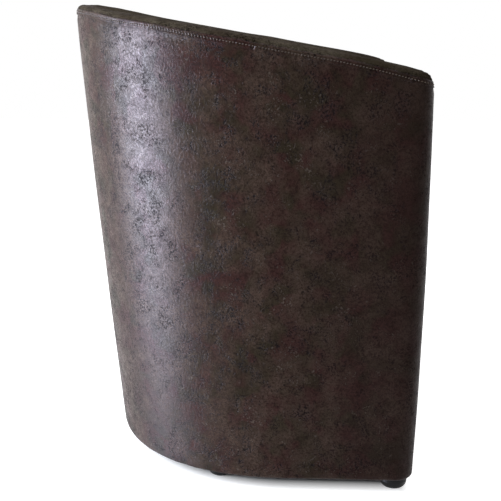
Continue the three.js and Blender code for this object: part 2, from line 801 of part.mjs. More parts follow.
const springPitch = (2 * (railInside - springSideGap) - springWidth) / (springCount - 1);
for (let k = 0; k < springCount; k++) {
  const centre = (k - (springCount - 1) / 2) * springPitch;
  add(`seat_spring_${k + 1}`, wire(springPath(centre), springWireRadius), springSteel);
  const frontClip = add(`spring_clip_front_${k + 1}`, clip(), zincSteel);
  frontClip.position.set(centre, frontClipBack - clipLength, seatRailTop + clearance);
  const backClip = add(`spring_clip_back_${k + 1}`, clip(), zincSteel);
  backClip.rotation.z = Math.PI;
  backClip.position.set(centre, backClipFront + clipLength, seatRailTop + clearance);
}

// Seat cushion: its outline follows the inside of the shell, with rounded front corners.
function seatOutline(z, inset) {
  const plan = planAt(z);
  const wallInset = wallThickness + seatSideClearance;
  const centreX = plan.halfWidth - wallInset - seatCornerRadius;
  const centreY = plan.front + seatFrontSetback + seatCornerRadius;
  const reach = seatCornerRadius - inset;
  const half = (side) => {
    const points = halfTurns.map((turn) => pointAt({ side, turn }, z, wallInset + inset));
    for (let k = 0; k <= cornerSteps; k++) {
      const turn = (quarterTurn * k) / cornerSteps;
      const x = side * (centreX + reach * Math.cos(turn));
      points.push(new THREE.Vector3(x, centreY - reach * Math.sin(turn), z));
    }
    return points;
  };
  return [...half(1).reverse(), ...half(-1).slice(1)];
}

// Felt over the springs, filling the seat's outline behind the front cover.
const padHeights = [springPadBottom, springPadBottom + springPadThickness];
const padSolid = stackSolid(
  padHeights.map((z) => seatOutline(z, 0)),
  new THREE.Vector3(0, 0, padHeights[0]),
  new THREE.Vector3(0, 0, padHeights[1]),
);
const behindFrontCover = boxBetween(
  new THREE.Vector3(-rimWidth, frontBoardFront, 0),
  new THREE.Vector3(rimWidth, rimDepth, backHeight),
);
add("spring_pad", common(padSolid, behindFrontCover), greyFelt);

// The cushion's loops from its lower edge to its top, for a layer this deep under the cover's face.
const seatCentre = new THREE.Vector3(0, 0, seatHeight);
function seatLoops(depth, steps) {
  const loops = [
    seatOutline(seatBottom, depth + seatTuck),
    seatOutline(seatBottom + seatTuckHeight, depth),
  ];
  for (let k = 0; k <= steps; k++) {
    const turn = (quarterTurn * k) / steps;
    const inset = depth + (seatEdgeRadius - depth) * (1 - Math.cos(turn));
    loops.push(seatOutline(seatHeight - depth - (seatEdgeRadius - depth) * (1 - Math.sin(turn)), inset));
  }
  const edge = loops[loops.length - 1];
  for (const share of crownRowShares) {
    const rise = seatCrown * (1 - (1 - share) ** 2);
    loops.push(edge.map((p) => p.clone().lerp(seatCentre, share).setZ(p.z + rise)));
  }
  return { loops, top: seatCentre.clone().setZ(edge[0].z + seatCrown) };
}

const seatFoamDepth = coverThickness + clearance;
const seatFoam = seatLoops(seatFoamDepth, foamEdgeSteps);
add("seat_foam", stackSolid(seatFoam.loops, seatCentre.clone().setZ(seatBottom), seatFoam.top), foam);
const seatFace = seatLoops(0, edgeSteps);
const seatBack = seatLoops(coverThickness, edgeSteps);
const seatCoverLoops = [...seatBack.loops.reverse(), ...seatFace.loops];
add("seat_cover", stackSolid(seatCoverLoops, seatBack.top, seatFace.top), coverFabric);

export default group;
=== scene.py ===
import json
import math

import bmesh
import bpy
import numpy as np
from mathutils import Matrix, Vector
from mathutils.bvhtree import BVHTree


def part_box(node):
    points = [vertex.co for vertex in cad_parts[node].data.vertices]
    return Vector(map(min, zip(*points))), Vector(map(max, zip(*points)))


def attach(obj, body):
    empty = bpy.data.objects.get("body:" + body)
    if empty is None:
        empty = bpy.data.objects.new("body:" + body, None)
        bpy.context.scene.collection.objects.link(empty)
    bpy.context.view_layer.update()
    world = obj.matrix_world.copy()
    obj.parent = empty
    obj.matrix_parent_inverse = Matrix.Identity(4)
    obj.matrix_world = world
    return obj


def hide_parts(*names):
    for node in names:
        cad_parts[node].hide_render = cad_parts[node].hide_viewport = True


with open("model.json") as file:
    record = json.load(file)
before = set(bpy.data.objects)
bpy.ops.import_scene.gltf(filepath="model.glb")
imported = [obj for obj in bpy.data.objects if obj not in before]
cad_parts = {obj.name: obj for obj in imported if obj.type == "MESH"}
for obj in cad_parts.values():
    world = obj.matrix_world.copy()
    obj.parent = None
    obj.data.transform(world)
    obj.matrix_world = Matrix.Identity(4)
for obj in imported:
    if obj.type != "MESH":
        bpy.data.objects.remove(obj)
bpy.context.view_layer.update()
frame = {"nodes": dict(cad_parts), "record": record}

# Shape of the shell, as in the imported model.
RIM_WIDTH = 0.670
RIM_DEPTH = 0.556
BACK_HEIGHT = 0.743
ARM_HEIGHT = 0.644
NOSE_DROP = 0.007
NOSE_LENGTH = 0.090
SIDE_LEAN = 0.0255
FRONT_LEAN = 0.004
BACK_LEAN = 0.058
COVER_LIFT = 0.024
BACK_ROUND = 0.325
SQUARENESS = 2.25
WALL = 0.057
EDGE_WIDTH = 0.016
EDGE_HEIGHT = 0.018
EDGE_REACH = (EDGE_WIDTH + EDGE_HEIGHT) / 2
SEAM_TURN = math.radians(36)
RIM_CROWN = 0.0015
OUTER_CORNER = 0.028
INNER_CORNER = 0.022
RETURN_LENGTH = 0.040
OUTER_BELLY = 0.0025
FRONT_BELLY = 0.0035
INNER_BELLY = 0.005
INNER_BOTTOM = 0.3252
SEAT_HEIGHT = 0.440
SEAT_BOTTOM = 0.336
SEAT_CROWN = 0.014
SEAT_SETBACK = 0.003
SEAT_GAP = 0.0006
SEAT_CORNER = 0.034
SEAT_EDGE = 0.026
SEAT_TUCK = 0.007

# Where the padded rim rises or sinks: side, place, reach and lift.
RIM_LIFTS = [
    (1, 0.240, 0.032, 0.0023),
    (1, 0.090, 0.090, -0.0019),
    (1, -0.262, 0.040, 0.0012),
    (-1, 0.172, 0.036, -0.0016),
    (-1, -0.232, 0.055, -0.0017),
]

# Cloth, the steps of its rows and columns, and how far it keeps from the foam.
CLOTH = 0.0012
STITCH_PITCH = 0.0045
FINE_STEP = STITCH_PITCH / 5
COARSER = 7
DENSE = 1200
WALL_STEPS = 84
END_FINE = 0.0075
END_MARKS = [0.0004, 0.0009, 0.0016, 0.0026, 0.0040, 0.0053]
END_FLAP, END_TUCK = 0.0035, 0.0008
SEAM_GAP = 0.0003
FOAM_CLEARANCE = 0.0009
CORNER_CLEARANCE = 0.0018
FOAM_REACH = 0.010
RAIL_SLACK, RAIL_BACK, RAIL_REACH = 0.0003, -0.200, 0.020

# Distances from the seam of the rows beside it, on the walls and on the rim band.
SEAM_ROWS = [0.0004, 0.0009, 0.0015, 0.0022, 0.0029, 0.0036, 0.0042, 0.0047, 0.0051, 0.0055, 0.0059, 0.0064,
             0.0070, 0.0077, 0.0086, 0.0096]
BAND_ROWS = [0.0, 0.0004, 0.0009, 0.0015, 0.0022, 0.0030, 0.0040, 0.0051, 0.0063, 0.0076, 0.0090, 0.0104,
             0.0118, 0.0132, 0.0146]
BAND_EDGE = 0.016
BAND_CELLS = 12
WALL_FROM_SEAM = SEAM_TURN * EDGE_REACH + 0.004

# Ridges and grooves along a seam, an open end or a pleat: height, distance and width.
LIP = 0.0004
LIP_OVERLAP, LIP_DEPTH = 0.0003, LIP * 2.2
STITCH_OFFSET = 0.0053
WALL_FORMS = [(-LIP, 0.0, 0.0006), (0.00015, 0.0026, 0.0017), (-0.0007, STITCH_OFFSET, 0.0018)]
END_FORMS = [(-LIP, 0.0, 0.0007), (0.0005, 0.0026, 0.0016), (-0.0005, STITCH_OFFSET, 0.0010)]
BAND_FORMS = [(-LIP, 0.0, 0.0006), (0.00015, 0.0024, 0.0015)]
CORNER_FORMS, CORNER_REACH = [(0.0013, 0.008, 0.006)], 0.024
PLEAT_FORMS, PLEAT_REACH = [(0.0006, 0.0022, 0.0013), (-0.00036, 0.0, 0.0012)], 0.022
PLEAT_HEIGHTS = (0.0040, 0.0088)
PLEAT_SLANT = 0.10
PLEAT_BACK = 0.014

# The dent at each stitch hole and the ridge between two holes, along and across the row.
HOLE_SLANT = 0.45
HOLE_DEPTH, HOLE_LENGTH, HOLE_WIDTH = 0.0010, 0.0008, 0.0020
RIDGE_HEIGHT, RIDGE_LENGTH, RIDGE_WIDTH, RIDGE_OFFSET = 0.0002, 0.0012, 0.0018, 0.0008
RUCK_OFFSET, RUCK_REACH = 0.004, 0.007

# A stitch: the row it lies on, its thread's radius and slant, half its length as a share of the pitch,
# its thinnest section, and how far its middle lies out and its ends dive in, in radii.
STITCH_ROW = 0.0051
THREAD = 0.00068
STITCH_SLANT = 0.3
STITCH_HALF = 0.34
THREAD_TIP = 0.12
THREAD_OUT, THREAD_DIVE = 0.45, 1.6
THREAD_RINGS, THREAD_SIDES = 6, 6
ARM_STITCH_COLUMN, ARM_STITCH_BELOW, ARM_STITCH_TOP = 6, 0.03, 3

# Hems, and the front cover's turned-back edges.
HEM_LEVEL = COVER_LIFT - 0.0013
HEM_ROUND = 0.005
HEM_ANGLES = (90, 68, 45, 22)
HEM_FADE = 0.012
WALL_HEM = (0.016, 0.012, 0.008)
FRONT_HEM = (0.016, 0.011, 0.007)
FRONT_ROUND, FRONT_PRESS = 0.0012, 0.0008
FRONT_TOP_GAP = 0.0005
FRONT_TURNS, FRONT_TURN_GAP = (0.002, 0.008, 0.020), 0.0004
FRONT_SINK, FRONT_SINK_SHARE = 0.0015, 0.03
FRONT_COLUMNS, FRONT_STEPS = 150, 60

# Ripples: height, number of waves, and the shortest and longest of them.
SEAM_WANDER = (0.0006, 6, 0.10, 0.45)
HOLE_CHANGE = (0.0002, 6, 0.004, 0.03)
SEAM_RUCK = (0.00025, 9, 0.007, 0.022)
WALL_DRIFT = (0.00045, 10, 0.10, 0.32)
WALL_HEM_RUCK = (0.00030, 9, 0.012, 0.035)
BAND_RUCK = (0.00025, 9, 0.008, 0.026)
BAND_DRIFT = (0.00035, 9, 0.03, 0.12)
FRONT_DRIFT = (0.0008, 9, 0.08, 0.3)
FRONT_HEM_RUCK = (0.0003, 8, 0.012, 0.04)
UNDER_RIPPLE = (0.0006, 10, 0.03, 0.09)
DRIFT_FADE = 0.05
CROWN_FADE, CROWN_POWER = 0.02, 1.4
BAND_RUCK_STRETCH, BAND_DRIFT_WIDTH = 0.4, 0.03
BAND_RUCK_OFFSET, BAND_RUCK_REACH = 0.003, 0.008

# The seat cushion: its cells, the rows under it and up its side, its seam and its swell.
SEAT_CELL = 0.0058
SEAT_UNDER = (0.030, 0.012, 0.0005)
SEAT_TUCK_RISE = 0.030
SEAT_TUCK_SHARES = np.linspace(0.05, 1, 7)
SEAT_SIDE_ROWS = 10
SEAT_TURNS = np.radians(np.arange(4, 90, 6))
SEAT_SEAM_TURN = math.radians(34)
SEAT_ROWS_ABOVE = SEAM_ROWS[:9] + [0.0058, 0.0075]
SEAT_ROW_GAP = 0.04
SEAT_BOW, SEAT_CROWN_SHARE, SEAT_CROWN_POWER = 2.4, 0.9, 0.7
SEAT_RUN_ROW = -8
HELD_SEAM, HELD_SIDE, HELD_SEAM_WIDTH, HELD_LOW = 0.9, 0.35, 0.002, 0.02
SWELL_MOST = 0.016
SWELL_FREE = 0.235
SWELL_STEPS = 20
SEAT_CORNER_X, SEAT_CORNER_Y = 0.22, -0.24
SEAT_STITCHED_Y = -0.2

# Feet: radius and height of their profile, from the screw's bore out under the sole and up to the top.
FOOT_RADIUS = 0.021
FOOT_SOLE = 0.012
FOOT_EDGE = 0.011
FOOT_TOP = 0.0219
FOOT_SIDES = 72
FOOT_EDGE_STEPS = 14
FOOT_BORE = [(0.0024, 0.007), (0.0044, 0.007), (0.0049, 0.0066), (0.005, 0.006), (0.005, 0.0012),
             (0.0054, 0.0003), (0.0062, 0.0)]
FOOT_UPPER = [(0.02115, 0.0113), (0.02115, 0.0118), (0.021, 0.0121), (0.021, 0.0196), (0.0208, 0.0206),
              (0.0202, 0.0214), (0.0192, 0.0218), (0.018, FOOT_TOP), (0.0024, FOOT_TOP)]

# The cloth underneath: its edge, folded hem and sag, and the wire staples through it.
UNDER_CLOTH = 0.0005
UNDER_INSET = 0.011
UNDER_STEP = 0.006
UNDER_MIDDLE = (0.0, -0.02)
UNDER_SHARES = [*np.linspace(0.04, 0.9, 32), 0.93, 0.95, 0.965, 0.975, 0.983, 0.989, 0.994, 0.998, 1.0]
UNDER_GAP = 0.0004
UNDER_SAG, UNDER_SAG_FADE = 0.004, 0.02
UNDER_RIPPLE_FADE = 0.03
UNDER_HALF = 0.25
UNDER_HEM, UNDER_FOLD, UNDER_FOLD_FADE = 0.016, 0.0004, 0.003
FOOT_REACH = 0.055
STAPLE_INSET = 0.006
STAPLE_FIRST, STAPLE_PITCH = 0.02, 0.038
STAPLE_TILT, STAPLE_AHEAD = 0.12, 0.002
STAPLE_WIRE = 0.0004
STAPLE_SIDES = 6
STAPLE_LEVEL = HEM_LEVEL - 0.0016
STAPLE_PATH = [(-0.0050, 0.0022), (-0.0050, 0.0004), (-0.0046, 0.0), (0.0046, 0.0), (0.0050, 0.0004),
               (0.0050, 0.0022)]
STAPLE_CROWN = (2, 3)

QUARTER = math.pi / 2
TINY = 1e-12
FAR = 1.0
KINDS = ROUND, STRAIGHT, CORNER, FRONT = range(4)


class Stations:
    """Places round the wall: a turn round the back, a share along an arm, or a place on an arm's front."""

    FIELDS = ("side", "kind", "value", "start", "inner")

    def __init__(self, side, kind, value, start=0.0, inner=False):
        value, start = np.broadcast_arrays(np.asarray(value, float), start)
        self.side = np.broadcast_to(np.asarray(side, float), value.shape)
        self.kind = np.broadcast_to(np.asarray(kind), value.shape)
        self.inner = np.broadcast_to(np.asarray(inner), value.shape)
        self.value, self.start = value, start

    def __len__(self):
        return len(self.value)

    def take(self, index):
        return Stations(*(getattr(self, field)[index] for field in self.FIELDS))

    def with_(self, **changes):
        return Stations(*(changes.get(field, getattr(self, field)) for field in self.FIELDS))


def chain(*runs):
    return Stations(*(np.concatenate([getattr(run, field) for run in runs]) for field in Stations.FIELDS))


def plan_at(z):
    """Half the width, the front, the depth of the round back and where it starts, at a height."""
    fall = (BACK_HEIGHT - z) / (BACK_HEIGHT - COVER_LIFT)
    half = RIM_WIDTH / 2 - SIDE_LEAN * fall
    front = FRONT_LEAN * fall - RIM_DEPTH / 2
    deep = BACK_ROUND * half / (RIM_WIDTH / 2)
    return half, front, deep, RIM_DEPTH / 2 - BACK_LEAN * fall - deep


def plan_point(st, z, inset):
    """Where a station lies in plan at a height, this far inside the wall's face."""
    half, front, deep, start = plan_at(z)
    depth = np.where(st.inner, WALL - inset, inset)
    turn = np.where(st.kind == ROUND, st.value, QUARTER / 2)
    across = np.sin(turn) ** (2 / SQUARENESS)
    along = np.maximum(np.cos(turn), 0) ** (2 / SQUARENESS)
    normal_x = across ** (SQUARENESS - 1) / half
    normal_y = along ** (SQUARENESS - 1) / deep
    length = np.hypot(normal_x, normal_y)
    radius = np.where(st.inner, INNER_CORNER, OUTER_CORNER)
    centre = np.where(st.inner, WALL - INNER_CORNER, OUTER_CORNER)
    flat = WALL - INNER_CORNER - OUTER_CORNER
    kinds = [st.kind == kind for kind in KINDS]
    x = np.select(kinds, [
        half * across - depth * normal_x / length,
        half - depth,
        half - centre + (radius - inset) * np.cos(st.value),
        half - OUTER_CORNER - st.value * flat,
    ])
    y = np.select(kinds, [
        start + deep * along - depth * normal_y / length,
        front + st.start + st.value * (start - front - st.start),
        front + radius - (radius - inset) * np.sin(st.value),
        front + inset,
    ])
    return st.side * x, y


def rim_height(y):
    behind = y + RIM_DEPTH / 2
    nose = np.maximum(0, 1 - behind / NOSE_LENGTH)
    return ARM_HEIGHT + (BACK_HEIGHT - ARM_HEIGHT) * behind / RIM_DEPTH - NOSE_DROP * nose ** 2


def bell(distance, width):
    return np.exp(-((distance / width) ** 2))


def ease(share):
    share = np.clip(share, 0, 1)
    return share * share * (3 - 2 * share)


def forms(table, distance):
    """The ridges and grooves of a table, added up at a distance."""
    return sum(height * bell(distance - place, width) for height, place, width in table)


def rim_lift(side, y):
    return sum(np.where(side == at_side, lift * bell(y - place, reach), 0.0)
               for at_side, place, reach, lift in RIM_LIFTS)


def wall_point(st, z, inset):
    return np.stack(np.broadcast_arrays(*plan_point(st, z, inset), z), -1)


def rim_point(st, inset, drop):
    """A point this far inside the wall and below the rim, found by nearing its height step by step."""
    z = BACK_HEIGHT
    for _ in range(6):
        y = plan_point(st, z, inset)[1]
        z = rim_height(y) + rim_lift(st.side, y) - drop
    return wall_point(st, z, inset)


def edge_point(st, turn, out=0.0):
    """The rounded top edge at a turn from upright to flat, with the surface moved out."""
    inset = EDGE_WIDTH * (1 - np.cos(turn)) - out * np.cos(turn)
    drop = EDGE_HEIGHT * (1 - np.sin(turn)) - out * np.sin(turn)
    return rim_point(st, inset, drop)


# Paths round the wall.
def lengths_along(points):
    steps = np.linalg.norm(np.diff(points, axis=0), axis=1)
    return np.concatenate([[0], np.cumsum(steps)])


def along_line(line, run, marks):
    """The points of a line at marks along its run."""
    return np.stack([np.interp(marks, run, column) for column in line.T], -1)


def between(run, marks):
    """The place in a run before each mark, and the share of the way on to the next one."""
    index = np.clip(np.searchsorted(run, marks, side="right") - 1, 0, len(run) - 2)
    return index, (marks - run[index]) / np.maximum(run[index + 1] - run[index], TINY)


def evenly(path, step, extra_ends):
    """A dense path's stations again, a step apart along the seam, with some more before its end."""
    run = lengths_along(edge_point(path, SEAM_TURN))
    end = run[-1]
    marks = np.arange(0, end, step)
    marks = np.concatenate([marks[marks < end - step / 3], [end]])
    marks = np.unique(np.concatenate([marks, end - np.asarray(extra_ends)]))
    index, share = between(run, marks)
    here, there = path.take(index), path.take(index + 1)
    same = (here.kind == there.kind) & (here.inner == there.inner)
    near = path.take(np.where(same | (share <= 0.5), index, index + 1))
    value = np.where(same, here.value + share * (there.value - here.value), near.value)
    start = np.where(same, here.start + share * (there.start - here.start), near.start)
    return near.with_(value=value, start=start), marks


def whole_path(path, step, extra_ends=()):
    """A path out from the back's middle, as even stations from right to left, with their places."""
    half, marks = evenly(path, step, extra_ends)
    right = half.take(np.arange(len(half) - 1, 0, -1))
    return chain(right.with_(side=-right.side), half), np.concatenate([-marks[:0:-1], marks])


def outer_path():
    return chain(
        Stations(1, ROUND, np.linspace(0, QUARTER, DENSE)),
        Stations(1, STRAIGHT, np.linspace(1, 0, DENSE)[1:], OUTER_CORNER),
        Stations(1, CORNER, np.linspace(0, QUARTER, DENSE // 4)[1:]),
    )


def returned_path():
    """The outer path, and on from the arm's front, round its inner corner and back along its inside."""
    return chain(
        outer_path(),
        Stations(1, FRONT, np.linspace(0, 1, DENSE // 10)[1:]),
        Stations(1, CORNER, np.linspace(QUARTER, 2 * QUARTER, DENSE // 5)[1:], 0, True),
        Stations(1, STRAIGHT, 0.0, np.linspace(INNER_CORNER, RETURN_LENGTH, DENSE // 10)[1:], True),
    )


def inner_path():
    return chain(
        Stations(1, ROUND, np.linspace(0, QUARTER, DENSE), 0, True),
        Stations(1, STRAIGHT, np.linspace(1, 0, DENSE)[1:], RETURN_LENGTH + SEAM_GAP, True),
    )


def as_inner(outer):
    """The inside stations that face the outside ones across the wall."""
    value = np.where(outer.kind == CORNER, 2 * QUARTER - outer.value, outer.value)
    start = np.where(outer.kind == STRAIGHT, INNER_CORNER, 0.0)
    return outer.with_(value=value, start=start, inner=np.ones(len(outer), bool))


def waves(seed, ripple):
    """A smooth random field of two lengths, the same in each run."""
    height, count, shortest, longest = ripple
    draw = np.random.default_rng(seed)
    length = np.exp(draw.uniform(math.log(shortest), math.log(longest), count))
    turn = draw.uniform(0, 2 * math.pi, count)
    phase = draw.uniform(0, 2 * math.pi, count)

    def field(u, v=0.0):
        u, v = np.asarray(u, float), np.asarray(v, float)
        total = np.zeros(np.broadcast(u, v).shape)
        for size, angle, shift in zip(length, turn, phase):
            total += np.sin(2 * math.pi * (u * math.cos(angle) + v * math.sin(angle)) / size + shift)
        return height * (total / math.sqrt(2 * count))

    return field


# Meshes.
def unit(vectors):
    return vectors / np.maximum(np.linalg.norm(vectors, axis=-1, keepdims=True), TINY)


def quads(rows, columns, closed=False, flip=False, start=0):
    row = np.arange(rows - 1)[:, None] * columns
    here = np.arange(columns if closed else columns - 1)[None, :]
    there = (here + 1) % columns
    corners = [row + here, row + there, row + there + columns, row + here + columns]
    if flip:
        corners.reverse()
    return start + np.stack(np.broadcast_arrays(*corners), -1).reshape(-1, 4)


def cells(ids):
    """A face for each cell of a grid of point numbers."""
    return np.stack([ids[:-1, :-1], ids[1:, :-1], ids[1:, 1:], ids[:-1, 1:]], -1).reshape(-1, 4).tolist()


def fan(centre, count):
    """Faces from a centre to the first row of points, all round."""
    return [[centre, (k + 1) % count, k] for k in range(count)]


def rods(count, rings, sides):
    """Faces of rods of so many rings each, with their ends closed."""
    starts = np.arange(count) * rings * sides
    faces = (quads(rings, sides, closed=True)[None] + starts[:, None, None]).reshape(-1, 4).tolist()
    ring = np.arange(sides)
    for start in starts:
        faces += [(start + ring[::-1]).tolist(), (start + (rings - 1) * sides + ring).tolist()]
    return faces


def grid_normals(grid, closed=False, flip=False):
    """Unit normals of a grid of points, rows first."""
    if closed:
        wrapped = np.concatenate([grid[:, -1:], grid, grid[:, :1]], 1)
        along = (wrapped[:, 2:] - wrapped[:, :-2]) / 2
    else:
        along = np.gradient(grid, axis=1)
    normal = unit(np.cross(along, np.gradient(grid, axis=0)))
    return -normal if flip else normal


def add_object(name, data):
    added = bpy.data.objects.new(name, data)
    bpy.context.scene.collection.objects.link(added)
    return added


def new_piece(name, points, faces, finish, replaces=()):
    mesh = bpy.data.meshes.new(name)
    points = np.asarray(points).reshape(-1, 3).tolist()
    mesh.from_pydata(points, [], [list(map(int, face)) for face in faces])
    mesh.update()
    mesh.shade_smooth()
    piece = add_object(name, mesh)
    mesh.materials.append(finishes[finish])
    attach(piece, "root")
    if replaces:
        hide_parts(*replaces)
    return piece


def thicken(piece, thickness):
    """Gives a sheet its thickness, on the side away from its face."""
    solid = piece.modifiers.new("thickness", "SOLIDIFY")
    solid.thickness = thickness
    solid.offset = -1
    graph = bpy.context.evaluated_depsgraph_get()
    mesh = bpy.data.meshes.new_from_object(piece.evaluated_get(graph))
    piece.modifiers.clear()
    old = piece.data
    piece.data = mesh
    bpy.data.meshes.remove(old)


def cut_faces(piece, unwanted):
    """Deletes the faces whose middles answer yes."""
    mesh = bmesh.new()
    mesh.from_mesh(piece.data)
    gone = [face for face in mesh.faces if unwanted(face.calc_center_median())]
    bmesh.ops.delete(mesh, geom=gone, context="FACES")
    mesh.to_mesh(piece.data)
    mesh.free()


def face_outward(piece):
    """Drops loose points and turns all faces outward, judged by the highest one."""
    mesh = bmesh.new()
    mesh.from_mesh(piece.data)
    bmesh.ops.delete(mesh, geom=[point for point in mesh.verts if not point.link_faces], context="VERTS")
    mesh.normal_update()
    high = max(mesh.faces, key=lambda face: face.calc_center_median().z)
    bmesh.ops.recalc_face_normals(mesh, faces=mesh.faces)
    if high.normal.z < 0:
        bmesh.ops.reverse_faces(mesh, faces=mesh.faces)
    mesh.to_mesh(piece.data)
    mesh.free()


def keep_outside(points, node, clearance):
    """The points, with those that lie inside a node or too close to it moved out to a clearance."""
    tree = BVHTree.FromObject(frame["nodes"][node], bpy.context.evaluated_depsgraph_get())
    kept = np.array(points, dtype=float)
    for point in kept.reshape(-1, 3):
        surface, normal = tree.find_nearest(Vector(point), FOAM_REACH)[:2]
        if surface is not None and (Vector(point) - surface).dot(normal) < clearance:
            point[:] = surface + normal * clearance
    return kept


def column_length(grid):
    return np.linalg.norm(np.diff(grid, axis=0), axis=2).sum(0).max()


def stitch_row(name, line, normals, place=None):
    """Slanted stitches along a line on cloth, each between two holes of its relief."""
    run = lengths_along(line) if place is None else place
    first, last = math.ceil(run[0] / STITCH_PITCH), math.floor(run[-1] / STITCH_PITCH)
    middles = (np.arange(first, last) + 0.5) * STITCH_PITCH
    before, after = (along_line(line, run, middles + STITCH_PITCH / 4 * way) for way in (-1, 1))
    ahead = unit(after - before)
    out = unit(along_line(normals, run, middles))
    along = ahead * math.cos(STITCH_SLANT) + np.cross(out, ahead) * math.sin(STITCH_SLANT)
    across = np.cross(out, along)
    angle = (2 * math.pi * np.arange(THREAD_SIDES) / THREAD_SIDES)[None, :, None]
    rings = []
    for ring in range(THREAD_RINGS):
        share = 2 * ring / (THREAD_RINGS - 1) - 1
        radius = THREAD * math.sqrt(max(THREAD_TIP, 1 - abs(share) ** 3))
        lift = out * THREAD * (THREAD_OUT - THREAD_DIVE * share ** 4)
        centre = along_line(line, run, middles) + along * (share * STITCH_HALF * STITCH_PITCH) + lift
        spokes = across[:, None] * np.cos(angle) + out[:, None] * np.sin(angle)
        rings.append(centre[:, None] + radius * spokes)
    faces = rods(len(middles), THREAD_RINGS, THREAD_SIDES)
    new_piece(name, np.stack(rings, 1), faces, "thread")


# Covers of the shell.
def seam_turn(st, place):
    """The turn of the top edge at which the seam lies, which wanders a little."""
    return SEAM_TURN + waves(11, SEAM_WANDER)(place * st.side, st.inner * 1.0) / EDGE_REACH


def seam_relief(distance, place, seed):
    """How far cloth stands out near a seam: a rolled edge, puckers, and a slanted dent at each stitch."""
    beside = distance - STITCH_OFFSET
    phase = (place + HOLE_SLANT * beside) / STITCH_PITCH
    off_hole = (phase - np.round(phase)) * STITCH_PITCH
    depth = HOLE_DEPTH + waves(seed + 7, HOLE_CHANGE)(place)
    dent = -depth * bell(off_hole, HOLE_LENGTH) * bell(beside, HOLE_WIDTH)
    between_holes = 1 - bell(off_hole, RIDGE_LENGTH)
    ridge = RIDGE_HEIGHT * between_holes * bell(beside + RIDGE_OFFSET, RIDGE_WIDTH)
    ruck = waves(seed, SEAM_RUCK)(place) * bell(distance - RUCK_OFFSET, RUCK_REACH)
    return forms(WALL_FORMS, distance) + dent + ridge + ruck


def belly(st, share, swell):
    """How far the cloth swells at a share of its height; not at all where it goes back inside an arm."""
    returned = (st.kind == STRAIGHT) & (st.start < RETURN_LENGTH + SEAM_GAP / 2)
    flat = st.inner & ((st.kind == CORNER) | returned)
    front = np.sin(np.select([st.kind == CORNER, st.kind == FRONT], [st.value, QUARTER], 0.0))
    base = np.where(flat, 0.0, swell)
    most = base + (FRONT_BELLY - base) * front
    return 4 * most * np.maximum(0, share) * (1 - share)


def hem_rows(base, radius, insets):
    """Heights and insets of a hem's rows, from under the chair and up round its turn."""
    turn = [(base - (base - HEM_LEVEL) * math.sin(angle), radius * (1 - math.cos(angle)))
            for angle in np.radians(HEM_ANGLES)]
    return [(HEM_LEVEL, inset) for inset in insets] + turn


def hem_ruck(seed, ripple, run, height):
    return waves(seed, ripple)(run) * np.exp(-np.maximum(0, height - HEM_LEVEL) / HEM_FADE)


def kept_columns(place):
    """The columns kept below the seam: one in a few, and all of them near the ends."""
    keep = np.arange(len(place)) % COARSER == 0
    keep |= np.minimum(place - place.min(), place.max() - place) < END_FINE
    keep[[0, -1]] = True
    return np.flatnonzero(keep)


def coarsened(grid, split, columns, flip):
    """A grid whose rows up to the split keep only some columns, with its faces."""
    low, high = grid[:split, columns], grid[split:]
    points = np.concatenate([low.reshape(-1, 3), high.reshape(-1, 3)])
    count, first = len(columns), split * len(columns)
    faces = quads(split, count, flip=flip).tolist()
    faces += quads(len(high), grid.shape[1], flip=flip, start=first).tolist()
    base = first - count
    for k, (left, right) in enumerate(zip(columns[:-1], columns[1:])):
        face = [base + k, base + k + 1] + [first + c for c in range(right, left - 1, -1)]
        faces.append(face[::-1] if flip else face)
    return points, faces


def tucked_ends(grid, normal):
    """The grid with one more column at each end, turned in under the seam."""
    flaps = []
    for end, before in ((0, 1), (-1, -2)):
        onward = unit(grid[:, end] - grid[:, before])
        flaps.append((grid[:, end] + onward * END_FLAP - normal[:, end] * END_TUCK)[:, None])
    return np.concatenate([flaps[0], grid, flaps[1]], axis=1)


